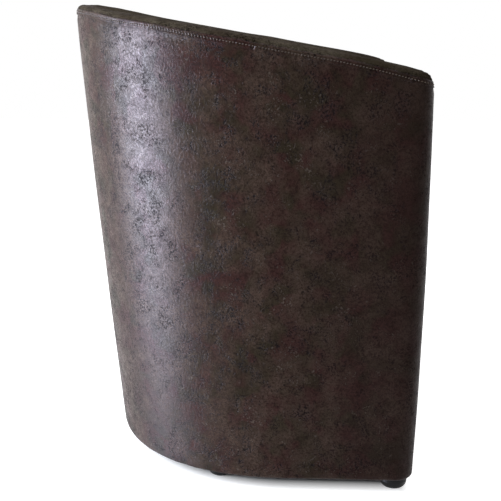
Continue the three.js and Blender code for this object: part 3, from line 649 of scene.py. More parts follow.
def wall_cover(name, node, path, swell, bottom, swell_from, seed, hem):
    """A cover over one face of the wall, from its lower edge to the seam in the rim."""
    st, place = whole_path(path, FINE_STEP, END_MARKS)
    seam = seam_turn(st, place)
    top = edge_point(st, 0.0)[:, 2]
    base = bottom + (HEM_ROUND if hem else 0)
    hems = hem_rows(base, HEM_ROUND, WALL_HEM) if hem else []
    rows = [wall_point(st, z, inset) for z, inset in hems]
    distances = [FAR] * len(rows)
    for k in range(WALL_STEPS):
        z = base + (top - base) * k / WALL_STEPS
        share = (z - swell_from) / (top - swell_from)
        rows.append(wall_point(st, z, -belly(st, share, swell)))
        distances.append(WALL_FROM_SEAM + (1 - k / WALL_STEPS))
    split = len(rows) - 1
    # The cloth runs up to the seam and back down under itself, and its fine rows lie over that strip.
    for distance in [0.0] + SEAM_ROWS[::-1]:
        rows.append(edge_point(st, seam - distance / EDGE_REACH))
        distances.append(distance)
    rows.append(edge_point(st, seam + LIP_OVERLAP / EDGE_REACH, -LIP_DEPTH))
    distances.append(0.0)
    grid = np.stack(rows)
    flip = not st.inner[len(st) // 2]
    normal = grid_normals(grid, flip=flip)
    height = grid[..., 2]
    run = place[None, :]
    out = waves(seed, WALL_DRIFT)(run, height) * ease((height - base) / DRIFT_FADE)
    out = out * ease((top[None, :] - height) / DRIFT_FADE)
    if hem:
        out += hem_ruck(seed + 1, WALL_HEM_RUCK, run, height)
    out += seam_relief(np.array(distances)[:, None], run, seed + 2)
    out += forms(END_FORMS, np.minimum(run - run.min(), run.max() - run))
    grid = grid + normal * out[..., None]
    whole = tucked_ends(grid, normal)
    if not hem:
        whole = keep_outside(whole, "inner_foam", FOAM_CLEARANCE)
    columns = np.concatenate([[0], kept_columns(place) + 1, [len(place) + 1]])
    points, faces = coarsened(whole, split, columns, flip)
    piece = new_piece(name, points, faces, "suede", (node,))
    return piece, grid, grid_normals(grid, flip=flip), distances.index(STITCH_ROW), place


def make_outer_cover():
    piece, grid, normal, line, place = wall_cover(
        "outer_cover_cloth", "outer_cover", returned_path(), OUTER_BELLY, COVER_LIFT, COVER_LIFT, 100, True)
    rail_top, rail_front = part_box("front_board")[1].z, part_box("base_front_rail")[0].y

    def in_rails(c):
        low_front = c.z < rail_top and rail_front - RAIL_SLACK < c.y < RAIL_BACK
        return low_front and abs(c.x) < plan_at(c.z)[0] - WALL + RAIL_REACH

    cut_faces(piece, in_rails)
    thicken(piece, CLOTH)
    stitch_row("outer_rim_stitches", grid[line], normal[line], place)


def make_inner_cover():
    piece, grid, normal, line, place = wall_cover(
        "inner_cover_cloth", "inner_cover", inner_path(), INNER_BELLY, INNER_BOTTOM, SEAT_HEIGHT, 200, False)
    thicken(piece, CLOTH)
    stitch_row("inner_rim_stitches", grid[line], normal[line], place)
    for word, column in (("right", ARM_STITCH_COLUMN), ("left", -1 - ARM_STITCH_COLUMN)):
        rows = np.flatnonzero(grid[:, column, 2] > SEAT_HEIGHT - ARM_STITCH_BELOW)[:-ARM_STITCH_TOP]
        stitch_row(f"arm_seam_stitches_{word}", grid[rows, column], normal[rows, column])


def make_rim_band():
    outer, place = whole_path(outer_path(), STITCH_PITCH / 2)
    inner = as_inner(outer)
    share = np.arange(1, BAND_CELLS) / BAND_CELLS
    loop = chain(outer, Stations(1, FRONT, share), inner.take(np.arange(len(inner) - 1, -1, -1)),
                 Stations(-1, FRONT, share[::-1]))
    end = place[-1]
    width = WALL - OUTER_CORNER - INNER_CORNER
    run = np.concatenate([place, end + share * width, place[::-1], -end - share[::-1] * width])
    seam = seam_turn(loop, run)
    rows = [edge_point(loop, seam - LIP_OVERLAP / EDGE_REACH, -LIP_DEPTH)]
    rows += [edge_point(loop, seam + mark / EDGE_REACH) for mark in BAND_ROWS]
    rows.append(edge_point(loop, QUARTER))
    side = np.stack(rows)
    side = side + grid_normals(side, closed=True, flip=True) * band_relief(run[None, :], end)[..., None]
    middle = band_middle(side[-1], len(outer), share, place)
    points = np.concatenate([side.reshape(-1, 3), middle.reshape(-1, 3)])
    points = keep_outside(points, "rim_foam", FOAM_CLEARANCE)
    faces = quads(*side.shape[:2], closed=True, flip=True).tolist()
    faces += cells(band_numbers(len(side), len(loop), len(outer)))
    piece = new_piece("rim_band_cloth", points, faces, "band", ("rim_band",))
    face_outward(piece)
    thicken(piece, CLOTH)


def band_relief(run, end):
    """The band's rolled edge and rucks, and its puffed and pleated corners at the arms' fronts."""
    distance = np.array([0.0] + BAND_ROWS + [BAND_EDGE])[:, None]
    corner = np.abs(run) - end + PLEAT_BACK
    ruck = waves(31, BAND_RUCK)(run, distance * BAND_RUCK_STRETCH)
    out = forms(BAND_FORMS, distance) + ruck * bell(distance - BAND_RUCK_OFFSET, BAND_RUCK_REACH)
    out = out + forms(CORNER_FORMS, distance) * bell(corner, CORNER_REACH)
    for height in PLEAT_HEIGHTS:
        groove = distance - height - PLEAT_SLANT * np.maximum(0, -corner)
        out = out + forms(PLEAT_FORMS, groove) * bell(corner, PLEAT_REACH)
    return out


def band_middle(edge, count, share, place):
    """Points between the band's outer and inner edges, a little crowned."""
    outer_edge = edge[:count]
    inner_edge = edge[count + len(share):][:count][::-1]
    middle = outer_edge[:, None] * (1 - share)[None, :, None] + inner_edge[:, None] * share[None, :, None]
    from_front = np.minimum(place - place.min(), place.max() - place)
    crown = np.sin(math.pi * share)
    swell = RIM_CROWN * ease(from_front / CROWN_FADE)[:, None] * crown[None, :] ** CROWN_POWER
    drift = waves(37, BAND_DRIFT)(place[:, None], share[None, :] * BAND_DRIFT_WIDTH)
    middle[..., 2] += swell + drift * crown
    return middle


def band_numbers(rows, around, count):
    """The point numbers of the band's top as a grid: its edges are in the last row, and the rest follow."""
    base = (rows - 1) * around
    ids = np.zeros((count, BAND_CELLS + 1), int)
    inside = np.arange(1, BAND_CELLS)
    ids[:, 1:-1] = rows * around + np.arange(count * len(inside)).reshape(count, -1)
    ids[0, 1:-1] = base + around - inside
    ids[-1, 1:-1] = base + count - 1 + inside
    ids[:, 0] = base + np.arange(count)
    ids[:, -1] = base + 2 * count + BAND_CELLS - 2 - np.arange(count)
    return ids


def make_front_cover():
    """The cloth between the arms, under the seat, with its top and sides turned back."""
    base = COVER_LIFT + FRONT_ROUND
    rows = hem_rows(base, FRONT_ROUND, FRONT_HEM)
    rows += [(z, 0.0) for z in np.linspace(base, SEAT_BOTTOM - FRONT_TOP_GAP, FRONT_STEPS)]
    rows += [(SEAT_BOTTOM + FRONT_TURN_GAP, inset) for inset in FRONT_TURNS]
    z, inset = np.array(rows).T[..., None]
    across = np.linspace(-1, 1, FRONT_COLUMNS)[None, :]
    half = plan_at(z)[0] - WALL + FRONT_PRESS
    grid = np.stack(np.broadcast_arrays(across * half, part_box("front_cover")[0].y + inset, z), -1)
    height = grid[..., 2]
    out = waves(61, FRONT_DRIFT)(grid[..., 0], height) * ease((height - COVER_LIFT) / DRIFT_FADE)
    out = out + hem_ruck(62, FRONT_HEM_RUCK, grid[..., 0], height)
    out = out - FRONT_SINK * bell(np.abs(across) - 1, FRONT_SINK_SHARE)
    grid = grid + grid_normals(grid) * out[..., None]
    sides = [[grid[:, [end]] + [0, turn, 0] for turn in FRONT_TURNS] for end in (0, -1)]
    grid = np.concatenate(sides[0][::-1] + [grid] + sides[1], axis=1)
    piece = new_piece(
        "front_cover_cloth", grid, quads(*grid.shape[:2]), "suede", ("front_cover",))
    column_length(grid.transpose(1, 0, 2))
    thicken(piece, CLOTH)


# Seat cushion: a skirt of rows round its outline, and a top panel of even cells.
def seat_point(kind, value, side, z, inset):
    """Where a place of the seat's outline lies at a height, this far inside its side."""
    face = WALL + SEAT_GAP
    half, front, _, start = plan_at(z)
    centre_x = half - face - SEAT_CORNER
    centre_y = front + SEAT_SETBACK + SEAT_CORNER
    reach = SEAT_CORNER - inset
    back = Stations(1, ROUND, np.where(kind == ROUND, value, QUARTER / 2))
    round_x, round_y = plan_point(back, z, face + inset)
    kinds = [kind == k for k in KINDS]
    x = np.select(kinds, [
        round_x, half - face - inset, centre_x + reach * np.cos(value), centre_x * value])
    y = np.select(kinds, [
        round_y, centre_y + value * (start - centre_y), centre_y - reach * np.sin(value), centre_y - reach])
    return np.stack(np.broadcast_arrays(side * x, y, z), -1)


def seat_loop():
    """The outline's even places, round from the front's middle, and its cells along width and depth."""
    turn, share = np.linspace(0, QUARTER, DENSE), np.linspace(1, 0, DENSE)
    kind = np.repeat(KINDS, DENSE)[::-1]
    value = np.concatenate([turn, share, turn, share])[::-1]
    run = lengths_along(seat_point(kind, value, 1, SEAT_HEIGHT, SEAT_EDGE / 2))
    turned = [np.abs(np.where(kind == k, value, np.inf) - QUARTER / 2) for k in (CORNER, ROUND)]
    corner, rear = (run[np.argmin(turn)] for turn in turned)
    spans = [(0, corner), (corner, rear), (rear, run[-1])]
    front, depth, back = (max(2, int(round((high - low) / SEAT_CELL))) for low, high in spans)
    width = max(front, back)
    marks = [np.linspace(*span, count + 1)[:-1] for span, count in zip(spans, (width, depth, width))]
    index, share = between(run, np.concatenate([*marks, run[-1:]]))
    same = kind[index] == kind[index + 1]
    kind_half = kind[index]
    value_half = np.where(same, value[index] + share * (value[index + 1] - value[index]), value[index])
    loop = [np.concatenate([half, half[1:-1][::-1]]) for half in (kind_half, value_half)]
    side = np.concatenate([np.ones(len(index)), -np.ones(len(index) - 2)])
    return (*loop, side), width, depth


def seat_side(loop):
    """The cushion's rows from under it up to its top panel, and how far each is from the seam."""
    tuck_top = SEAT_BOTTOM + SEAT_TUCK_RISE
    rows = [(SEAT_BOTTOM - FOAM_CLEARANCE, SEAT_TUCK + under) for under in SEAT_UNDER]
    for share in SEAT_TUCK_SHARES:
        rows.append((SEAT_BOTTOM + (tuck_top - SEAT_BOTTOM) * share, SEAT_TUCK * (1 - share) ** 2))
    rows += [(z, 0.0) for z in np.linspace(tuck_top, SEAT_HEIGHT - SEAT_EDGE, SEAT_SIDE_ROWS)[1:]]
    distances = [FAR] * len(rows)
    fine = sorted([-distance for distance in SEAM_ROWS] + [0.0] + SEAT_ROWS_ABOVE)
    turns = [SEAT_SEAM_TURN + distance / SEAT_EDGE for distance in fine]
    low, high = turns[0] - SEAT_ROW_GAP, turns[-1] + SEAT_ROW_GAP
    coarse = [turn for turn in SEAT_TURNS if turn < low or turn > high]
    for turn in sorted(coarse + turns + [QUARTER]):
        rows.append((SEAT_HEIGHT - SEAT_EDGE * (1 - math.sin(turn)), SEAT_EDGE * (1 - math.cos(turn))))
        distances.append((SEAT_SEAM_TURN - turn) * SEAT_EDGE)
    return np.stack([seat_point(*loop, *row) for row in rows]), np.array(distances)


def bow(share):
    return 1 - np.abs(2 * share - 1) ** SEAT_BOW


def seat_panel(edge, width, depth):
    """A crowned grid of points spanned by the top edge, from right to left and from front to back."""
    mirror = np.array([-1.0, 1, 1])
    front = edge[:width + 1]
    left = edge[width:width + depth + 1]
    back = edge[width + depth:2 * width + depth + 1]
    front = np.concatenate([(front * mirror)[:0:-1], front])
    back = np.concatenate([back * mirror, back[:-1][::-1]])
    s = np.linspace(0, 1, 2 * width + 1)[:, None, None]
    t = np.linspace(0, 1, depth + 1)[None, :, None]
    panel = ((1 - t) * front[:, None] + t * back[:, None] + (1 - s) * (left * mirror)[None] + s * left[None]
             - (1 - s) * (1 - t) * front[0] - s * (1 - t) * front[-1]
             - (1 - s) * t * back[0] - s * t * back[-1])
    crown = (bow(s) * bow(t))[..., 0] ** SEAT_CROWN_POWER
    panel[..., 2] = SEAT_HEIGHT + SEAT_CROWN * SEAT_CROWN_SHARE * crown
    return panel


def seat_mesh():
    """The cushion's points and faces, the shape of its grid of side points, and their rows' distances."""
    loop, width, depth = seat_loop()
    side, distances = seat_side(loop)
    rows, around = side.shape[:2]
    inside = seat_panel(side[-1], width, depth)[1:-1, 1:-1]
    base = (rows - 1) * around
    ids = np.zeros((2 * width + 1, depth + 1), int)
    across, back = np.arange(2 * width + 1), np.arange(depth + 1)
    ids[:, 0] = base + (across - width) % around
    ids[:, -1] = base + (depth + 3 * width - across) % around
    ids[-1, :] = base + width + back
    ids[0, :] = base + (-width - back) % around
    ids[1:-1, 1:-1] = rows * around + np.arange(inside.size // 3).reshape(inside.shape[:2])
    below = [[0, 0, SEAT_BOTTOM - FOAM_CLEARANCE]]
    points = np.concatenate([side.reshape(-1, 3), inside.reshape(-1, 3), below])
    faces = quads(rows, around, closed=True).tolist() + cells(ids) + fan(len(points) - 1, around)
    return points, faces, side.shape, distances


def inflate(piece, held):
    """Swells the cushion as cloth over air, held at its seams, and returns where its points go."""
    scene = bpy.context.scene
    group = piece.vertex_groups.new(name="held")
    for weight in np.unique(held[held > 0]):
        group.add(np.flatnonzero(held == weight).tolist(), float(weight), "REPLACE")
    cloth = piece.modifiers.new("cloth", "CLOTH")
    settings = cloth.settings
    settings.quality = 5
    settings.mass = 0.35
    settings.tension_stiffness = settings.compression_stiffness = 12
    settings.shear_stiffness = 4
    settings.bending_stiffness = 0.4
    settings.use_pressure = True
    settings.uniform_pressure_force = 3.0
    settings.vertex_group_mass = "held"
    settings.pin_stiffness = 1.0
    settings.effector_weights.gravity = 0
    cloth.collision_settings.use_collision = False
    cloth.point_cache.frame_start, cloth.point_cache.frame_end = 1, SWELL_STEPS
    for step in range(1, SWELL_STEPS + 1):
        scene.frame_set(step)
    graph = bpy.context.evaluated_depsgraph_get()
    moved = piece.evaluated_get(graph).to_mesh()
    points = np.empty(len(held) * 3)
    moved.vertices.foreach_get("co", points)
    piece.evaluated_get(graph).to_mesh_clear()
    piece.modifiers.clear()
    piece.vertex_groups.clear()
    scene.frame_set(1)
    return points.reshape(-1, 3)


def swollen(piece, points, distances):
    """The cushion's points after its cloth run: outward they may move only at the front and upward."""
    count = len(distances)
    held = np.zeros(len(points))
    held[:count] = np.where(np.abs(distances) < HELD_SEAM_WIDTH, HELD_SEAM, HELD_SIDE)
    held[points[:, 2] < SEAT_BOTTOM + HELD_LOW] = 1.0
    held[-1] = 1.0
    change = inflate(piece, held) - points
    change *= np.minimum(1, SWELL_MOST / np.maximum(np.linalg.norm(change, axis=1, keepdims=True), TINY))
    outward = (change[:, :2] * points[:, :2]).sum(1) > 0
    free = (points[:, 1] < -SWELL_FREE) & (np.abs(points[:, 0]) < SWELL_FREE)
    change[outward, 0] = 0
    change[outward & ~free, 1] = 0
    change[:count][~outward[:count], :2] = 0
    return points + change


def make_seat():
    points, faces, shape, distances = seat_mesh()
    piece = new_piece("seat_cover_cloth", points, faces, "suede", ("seat_cover",))
    points = swollen(piece, points, np.repeat(distances, shape[1]))
    count = shape[0] * shape[1]
    side = points[:count].reshape(shape)
    normal = grid_normals(side, closed=True)
    around = side[SEAT_RUN_ROW]
    place = lengths_along(around)
    out = seam_relief(distances[:, None], place[None, :], 301)
    points[:count] += (normal * out[..., None]).reshape(-1, 3)
    points = keep_outside(points, "seat_foam", FOAM_CLEARANCE)
    corners = (np.abs(points[:, 0]) > SEAT_CORNER_X) & (points[:, 1] < SEAT_CORNER_Y)
    points[corners] = keep_outside(points[corners], "seat_foam", CORNER_CLEARANCE)
    piece.data.vertices.foreach_set("co", points.astype(np.float32).ravel())
    piece.data.update()
    line = np.argmin(np.abs(distances - STITCH_ROW))
    row = points[:count].reshape(shape)[line]
    front = np.flatnonzero(row[:, 1] < SEAT_STITCHED_Y)
    front = front[np.argsort(row[front, 0])]
    marks = np.unwrap(place[front], period=place[-1] + np.linalg.norm(around[0] - around[-1]))
    stitch_row("seat_stitches", row[front], normal[line][front], marks)


# Feet, the cloth underneath and its staples.
FEET = [name for name in frame["nodes"] if name.startswith("foot_") and "screw" not in name]


def middle_of(node):
    low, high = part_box(node)
    return (low + high) / 2


def foot_profile():
    edge = [(FOOT_SOLE + (FOOT_RADIUS - FOOT_SOLE) * math.sin(angle), FOOT_EDGE * (1 - math.cos(angle)))
            for angle in np.linspace(0, QUARTER, FOOT_EDGE_STEPS)]
    return np.array(FOOT_BORE + edge + FOOT_UPPER)


def lathe(profile, sides):
    """A closed profile of radius and height, turned all round."""
    angle = 2 * math.pi * np.arange(sides) / sides
    radius, height = profile.T[..., None]
    points = np.stack(np.broadcast_arrays(radius * np.cos(angle), radius * np.sin(angle), height), -1)
    return points, quads(len(profile) + 1, sides, closed=True) % (len(profile) * sides)


def make_feet():
    points, faces = lathe(foot_profile(), FOOT_SIDES)
    for node in FEET:
        place = [*middle_of(node).xy, 0.0]
        new_piece(node + "_moulding", points + place, faces, "foot", (node,))


def under_loop(inset):
    """A line round the underside, this far inside the covers, with the last run along the front."""
    st, _ = whole_path(returned_path(), UNDER_STEP)
    points = wall_point(st, COVER_LIFT, inset)
    front_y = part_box("front_cover")[0].y + inset
    points = points[~(st.inner & (points[:, 1] > front_y))]
    first, last = points[0], points[-1]
    count = int(abs(last[0] - first[0]) / UNDER_STEP)
    front = last + (first - last) * (np.arange(1, count) / count)[:, None]
    front[:, 1] = front_y
    return np.concatenate([points, front])


def make_bottom_cover():
    """Black cloth under the frame: it sags between the feet, and its edge is folded over."""
    rim = under_loop(UNDER_INSET)
    centre = np.array([*UNDER_MIDDLE, HEM_LEVEL])
    shares = np.array(UNDER_SHARES)[:, None]
    grid = centre + (rim - centre)[None] * shares[..., None]
    near = np.zeros(grid.shape[:2])
    for foot in map(middle_of, FEET):
        near = np.maximum(near, bell(np.hypot(grid[..., 0] - foot.x, grid[..., 1] - foot.y), FOOT_REACH))
    from_edge = (1 - shares) * UNDER_HALF
    sag = UNDER_SAG * (1 - shares ** 3) * (1 - near) * ease(from_edge / UNDER_SAG_FADE)
    ripple = waves(71, UNDER_RIPPLE)(grid[..., 0], grid[..., 1]) * (1 - near)
    ripple = ripple * ease(from_edge / UNDER_RIPPLE_FADE)
    fold = UNDER_FOLD * ease((UNDER_HEM - from_edge) / UNDER_FOLD_FADE)
    grid[..., 2] = HEM_LEVEL - UNDER_GAP - sag - ripple - fold
    points = np.concatenate([grid.reshape(-1, 3), [centre - [0, 0, UNDER_GAP + UNDER_SAG]]])
    rows, around = grid.shape[:2]
    faces = quads(rows, around, closed=True).tolist() + fan(len(points) - 1, around)
    piece = new_piece("bottom_cover_cloth", points, faces, "nonwoven", ("bottom_cover",))
    thicken(piece, -UNDER_CLOTH)


def make_staples():
    """Wire staples a little way in from the edge of the cloth underneath, each turned by chance."""
    line = under_loop(UNDER_INSET + STAPLE_INSET)
    run = lengths_along(line)
    draw = np.random.default_rng(5)
    angle = (2 * math.pi * np.arange(STAPLE_SIDES) / STAPLE_SIDES)[:, None]
    up = np.array([0, 0, 1.0])
    marks = np.arange(STAPLE_FIRST, run[-1], STAPLE_PITCH)
    rings = []
    for spot, ahead in zip(along_line(line, run, marks), along_line(line, run, marks + STAPLE_AHEAD)):
        turn = math.atan2(ahead[1] - spot[1], ahead[0] - spot[0]) + draw.normal(0, STAPLE_TILT)
        along = np.array([math.cos(turn), math.sin(turn), 0])
        side = np.array([-along[1], along[0], 0])
        for k, (place, height) in enumerate(STAPLE_PATH):
            tilt = up if k in STAPLE_CROWN else along
            centre = spot * [1, 1, 0] + along * place + up * (STAPLE_LEVEL + height)
            rings.append(centre + STAPLE_WIRE * (side * np.cos(angle) + tilt * np.sin(angle)))
    faces = rods(len(marks), len(STAPLE_PATH), STAPLE_SIDES)
    new_piece("bottom_cover_staples", np.array(rings), faces, "zinc")


# Finishes, all worked out in the object's own space.
WALL_GLOSS, BAND_GLOSS = 0.085, 0.0
SUEDE_TINT = (1.0, 0.88, 0.90)
SUEDE_SHEEN_TINT = (0.90, 0.82, 1.0)
WALL_TONES = {
    "olive": (0.0300, 0.0230, 0.0120), "plum": (0.0480, 0.0190, 0.0160), "light": (0.0740, 0.0480, 0.0360),
    "dark": (0.0060, 0.0016, 0.0006), "pale": (0.2000, 0.1650, 0.1400), "black": (0.0010, 0.0005, 0.0003)}
# The rim band's tones: more olive than the walls' and lighter, the lightness being painted light from above
# on its top.
BAND_PAINTED_LIGHT_TONES = {
    "olive": (0.0550, 0.0460, 0.0310), "plum": (0.0570, 0.0430, 0.0320), "light": (0.0880, 0.0740, 0.0560),
    "dark": (0.0200, 0.0150, 0.0090), "pale": (0.1500, 0.1300, 0.1000), "black": (0.0040, 0.0028, 0.0018)}
# Noises: scale, detail, roughness and distortion, then the levels between which each is stretched.
SUEDE_NOISES = {
    "hue": ((27, 2, 0.5, 0.3), (0.44, 0.56)),
    "value": ((19, 3, 0.6), (0.40, 0.62)),
    "patch": ((58, 3, 0.6, 0.5), (0.36, 0.64)),
    "crackle": ((340, 3, 0.65), (0.51, 0.57)),
    "drift": ((34, 4, 0.65, 0.8), (0.48, 0.60)),
    "specks": ((300, 2, 0.6), (0.56, 0.64)),
    "rubbed": ((29, 4, 0.65, 0.6), (0.50, 0.64)),
}
SUEDE_GRAIN, SUEDE_FINE_GRAIN = (300, 3, 0.65, 0.8), (560, 1, 0.5)
GRAIN_SHADE = (0.42, 0.62, 0.0, 0.72)
GRAIN_ROUGH, PATCH_ROUGH = (0.43, 0.57, 0.0, 0.16), (0.0, 1.0, 0.34, 0.46)
# Painted shade: the suede's colour darkens towards the chair's front, between these depths, with a noisy
# edge.
PAINTED_FRONT_SHADE = (-0.27, -0.06, 0.7, 0.0)
PAINTED_FRONT_SHADE_NOISE, PAINTED_FRONT_SHADE_DRIFT = (9, 3, 0.6), (0.0, 1.0, -0.05, 0.05)


class Nodes:
    """A node tree, with short ways to add nodes and link them."""

    def __init__(self, tree):
        self.tree = tree

    def plug(self, socket, value):
        if isinstance(value, bpy.types.NodeSocket):
            self.tree.links.new(value, socket)
        else:
            socket.default_value = value

    def add(self, kind, inputs=None, **settings):
        node = self.tree.nodes.new(kind)
        for key, value in settings.items():
            setattr(node, key, value)
        for key, value in (inputs or {}).items():
            self.plug(node.inputs[key], value)
        return node

    def level(self, value, low, high, out_low=0.0, out_high=1.0):
        inputs = {"Value": value, "From Min": low, "From Max": high, "To Min": out_low, "To Max": out_high}
        return self.add("ShaderNodeMapRange", inputs).outputs["Result"]

    def math(self, operation, a, b=0.0):
        return self.add("ShaderNodeMath", {0: a, 1: b}, operation=operation).outputs["Value"]


class Finish(Nodes):
    """A material on one Principled shader, with textures in the object's own space."""

    def __init__(self, name, roughness=0.5, colour=(0.5, 0.5, 0.5), **sockets):
        self.material = bpy.data.materials.new(name)
        self.material.use_nodes = True
        super().__init__(self.material.node_tree)
        self.shader = self.tree.nodes["Principled BSDF"]
        self.place = self.add("ShaderNodeTexCoord").outputs["Object"]
        for socket, value in {"Base Color": (*colour, 1), "Roughness": roughness, **sockets}.items():
            self.set(socket, value)

    def set(self, socket, value):
        self.plug(self.shader.inputs[socket], value)

    def stretched(self, x, y, z):
        return self.add("ShaderNodeMapping", {"Vector": self.place, "Scale": (x, y, z)}).outputs["Vector"]

    def noise(self, scale, detail=2.0, roughness=0.5, distortion=0.0, at=None):
        inputs = {"Vector": at or self.place, "Scale": scale, "Detail": detail, "Roughness": roughness,
                  "Distortion": distortion}
        return self.add("ShaderNodeTexNoise", inputs).outputs["Fac"]

    def cells(self, scale, randomness):
        inputs = {"Vector": self.place, "Scale": scale, "Randomness": randomness}
        return self.add("ShaderNodeTexVoronoi", inputs, feature="F1").outputs["Distance"]

    def wave(self, scale, at, distortion=0.0, detail=2.0, direction="X"):
        inputs = {"Vector": at, "Scale": scale, "Distortion": distortion, "Detail": detail}
        return self.add("ShaderNodeTexWave", inputs, bands_direction=direction).outputs["Fac"]

    def mix(self, factor, *colours):
        """The first colour, changed to the second one by a factor."""
        colours = [(*colour, 1) if isinstance(colour, tuple) else colour for colour in colours]
        inputs = dict(zip((0, 6, 7), (factor, *colours)))
        return self.add("ShaderNodeMix", inputs, data_type="RGBA").outputs[2]

    def bump(self, height, distance, strength=1.0):
        node = self.add("ShaderNodeBump", {"Height": height, "Distance": distance, "Strength": strength})
        self.set("Normal", node.outputs["Normal"])


def suede(name, gloss, tones):
    """Faux suede: dark mottled nap with a fine grain, black crackle in drifts, rubbed grey specks, and
    painted shade that darkens it towards the chair's front.
    """
    f = Finish(name, 0.45, **{
        "Specular IOR Level": gloss, "Specular Tint": (*SUEDE_TINT, 1),
        "Sheen Weight": 0.03, "Sheen Roughness": 0.35, "Sheen Tint": (*SUEDE_SHEEN_TINT, 1),
        "Anisotropic": 0.8, "Anisotropic Rotation": 0.25})
    field = {word: f.level(f.noise(*noise), *levels) for word, (noise, levels) in SUEDE_NOISES.items()}
    grain, fine = f.noise(*SUEDE_GRAIN), f.noise(*SUEDE_FINE_GRAIN)
    black = f.math("MULTIPLY", field["crackle"], field["drift"])
    pale = f.math("MULTIPLY", field["specks"], field["rubbed"])
    apart = f.add("ShaderNodeSeparateXYZ", {"Vector": f.place})
    ahead = f.math("ADD", apart.outputs["Y"], f.level(f.noise(*PAINTED_FRONT_SHADE_NOISE), *PAINTED_FRONT_SHADE_DRIFT))
    base = f.mix(field["hue"], tones["olive"], tones["plum"])
    base = f.mix(field["value"], base, tones["light"])
    base = f.mix(f.math("MULTIPLY", field["patch"], 0.35), base, tones["dark"])
    base = f.mix(f.level(grain, *GRAIN_SHADE), base, tones["dark"])
    base = f.mix(f.math("MULTIPLY", pale, 0.40), base, tones["pale"])
    base = f.mix(f.math("MULTIPLY", black, 0.92), base, tones["black"])
    # Painted shade: the colour is mixed to the dark tone towards the chair's front.
    f.set("Base Color", f.mix(f.level(ahead, *PAINTED_FRONT_SHADE), base, tones["dark"]))
    rough = f.math("ADD", f.level(field["patch"], *PATCH_ROUGH), f.level(grain, *GRAIN_ROUGH))
    f.set("Roughness", f.math("ADD", rough, f.math("MULTIPLY", black, 0.40)))
    height = f.math("ADD", f.math("MULTIPLY", grain, 1.0), f.math("MULTIPLY", fine, 0.35))
    f.bump(f.math("SUBTRACT", height, f.math("MULTIPLY", black, 0.35)), 0.0006)
    return f.material


def thread():
    f = Finish("sewing_thread", 0.5, (0.05, 0.04, 0.035), **{"Specular IOR Level": 0.2})
    f.bump(f.wave(900, f.stretched(1, 1, 0.4)), 0.0001, 0.6)
    f.set("Base Color", f.mix(f.noise(800), (0.052, 0.036, 0.025), (0.110, 0.080, 0.058)))
    return f.material


def foot_plastic():
    f = Finish("foot_plastic", 0.45, (0.004, 0.004, 0.004), **{"Specular IOR Level": 0.15})
    f.set("Base Color", f.mix(f.noise(60, 3), (0.003, 0.003, 0.003), (0.007, 0.007, 0.007)))
    f.set("Roughness", f.level(f.noise(240, 4, 0.6), 0.3, 0.7, 0.34, 0.55))
    f.bump(f.noise(1500), 0.00012, 0.5)
    return f.material


def nonwoven():
    f = Finish("nonwoven_cloth", 0.9, (0.012, 0.012, 0.013), **{"Specular IOR Level": 0.2})
    dots = f.level(f.cells(420, 0.1), 0.12, 0.3, 1.0, 0.0)
    fibres = f.noise(700, 5, 0.75, 1.5)
    colour = f.mix(fibres, (0.008, 0.008, 0.009), (0.03, 0.03, 0.032))
    f.set("Base Color", f.mix(dots, colour, (0.006, 0.006, 0.006)))
    f.bump(f.math("SUBTRACT", fibres, f.math("MULTIPLY", dots, 0.8)), 0.0003, 0.8)
    return f.material


def wood(name, dark, light, layered=False):
    f = Finish(name, 0.6)
    grain = f.noise(40, 5, 0.6, 0.6, f.stretched(0.1, 0.1, 1) if layered else f.stretched(1, 1, 0.06))
    rings = f.wave(14, f.stretched(1, 1, 0.1), 3.0, 3.0)
    colour = f.mix(f.level(grain, 0.3, 0.7), dark, light)
    colour = f.mix(f.math("MULTIPLY", rings, 0.35), colour, dark)
    if layered:
        plies = f.level(f.wave(55, f.stretched(0, 0, 1), direction="Z"), 0.4, 0.6)
        colour = f.mix(f.math("MULTIPLY", plies, 0.5), colour, dark)
    f.set("Base Color", colour)
    f.set("Roughness", f.level(grain, 0.3, 0.7, 0.5, 0.72))
    f.bump(f.math("ADD", grain, f.math("MULTIPLY", rings, 0.4)), 0.0003, 0.6)
    return f.material


def pressed(name, dark, light, scale, distance):
    f = Finish(name, 0.85, **{"Specular IOR Level": 0.25})
    fibres = f.noise(scale, 4, 0.7, 0.8)
    clumps = f.noise(scale / 6, 3, 0.6)
    f.set("Base Color", f.mix(f.level(f.math("ADD", fibres, clumps), 0.7, 1.3), dark, light))
    f.bump(fibres, distance, 0.8)
    return f.material


def metal(name, dark, light, roughness):
    f = Finish(name, roughness, Metallic=1.0)
    marks = f.noise(500, 4, 0.7)
    f.set("Base Color", f.mix(f.noise(90, 3), dark, light))
    f.set("Roughness", f.level(marks, 0.3, 0.7, roughness - 0.08, roughness + 0.12))
    f.bump(marks, 0.00006, 0.5)
    return f.material


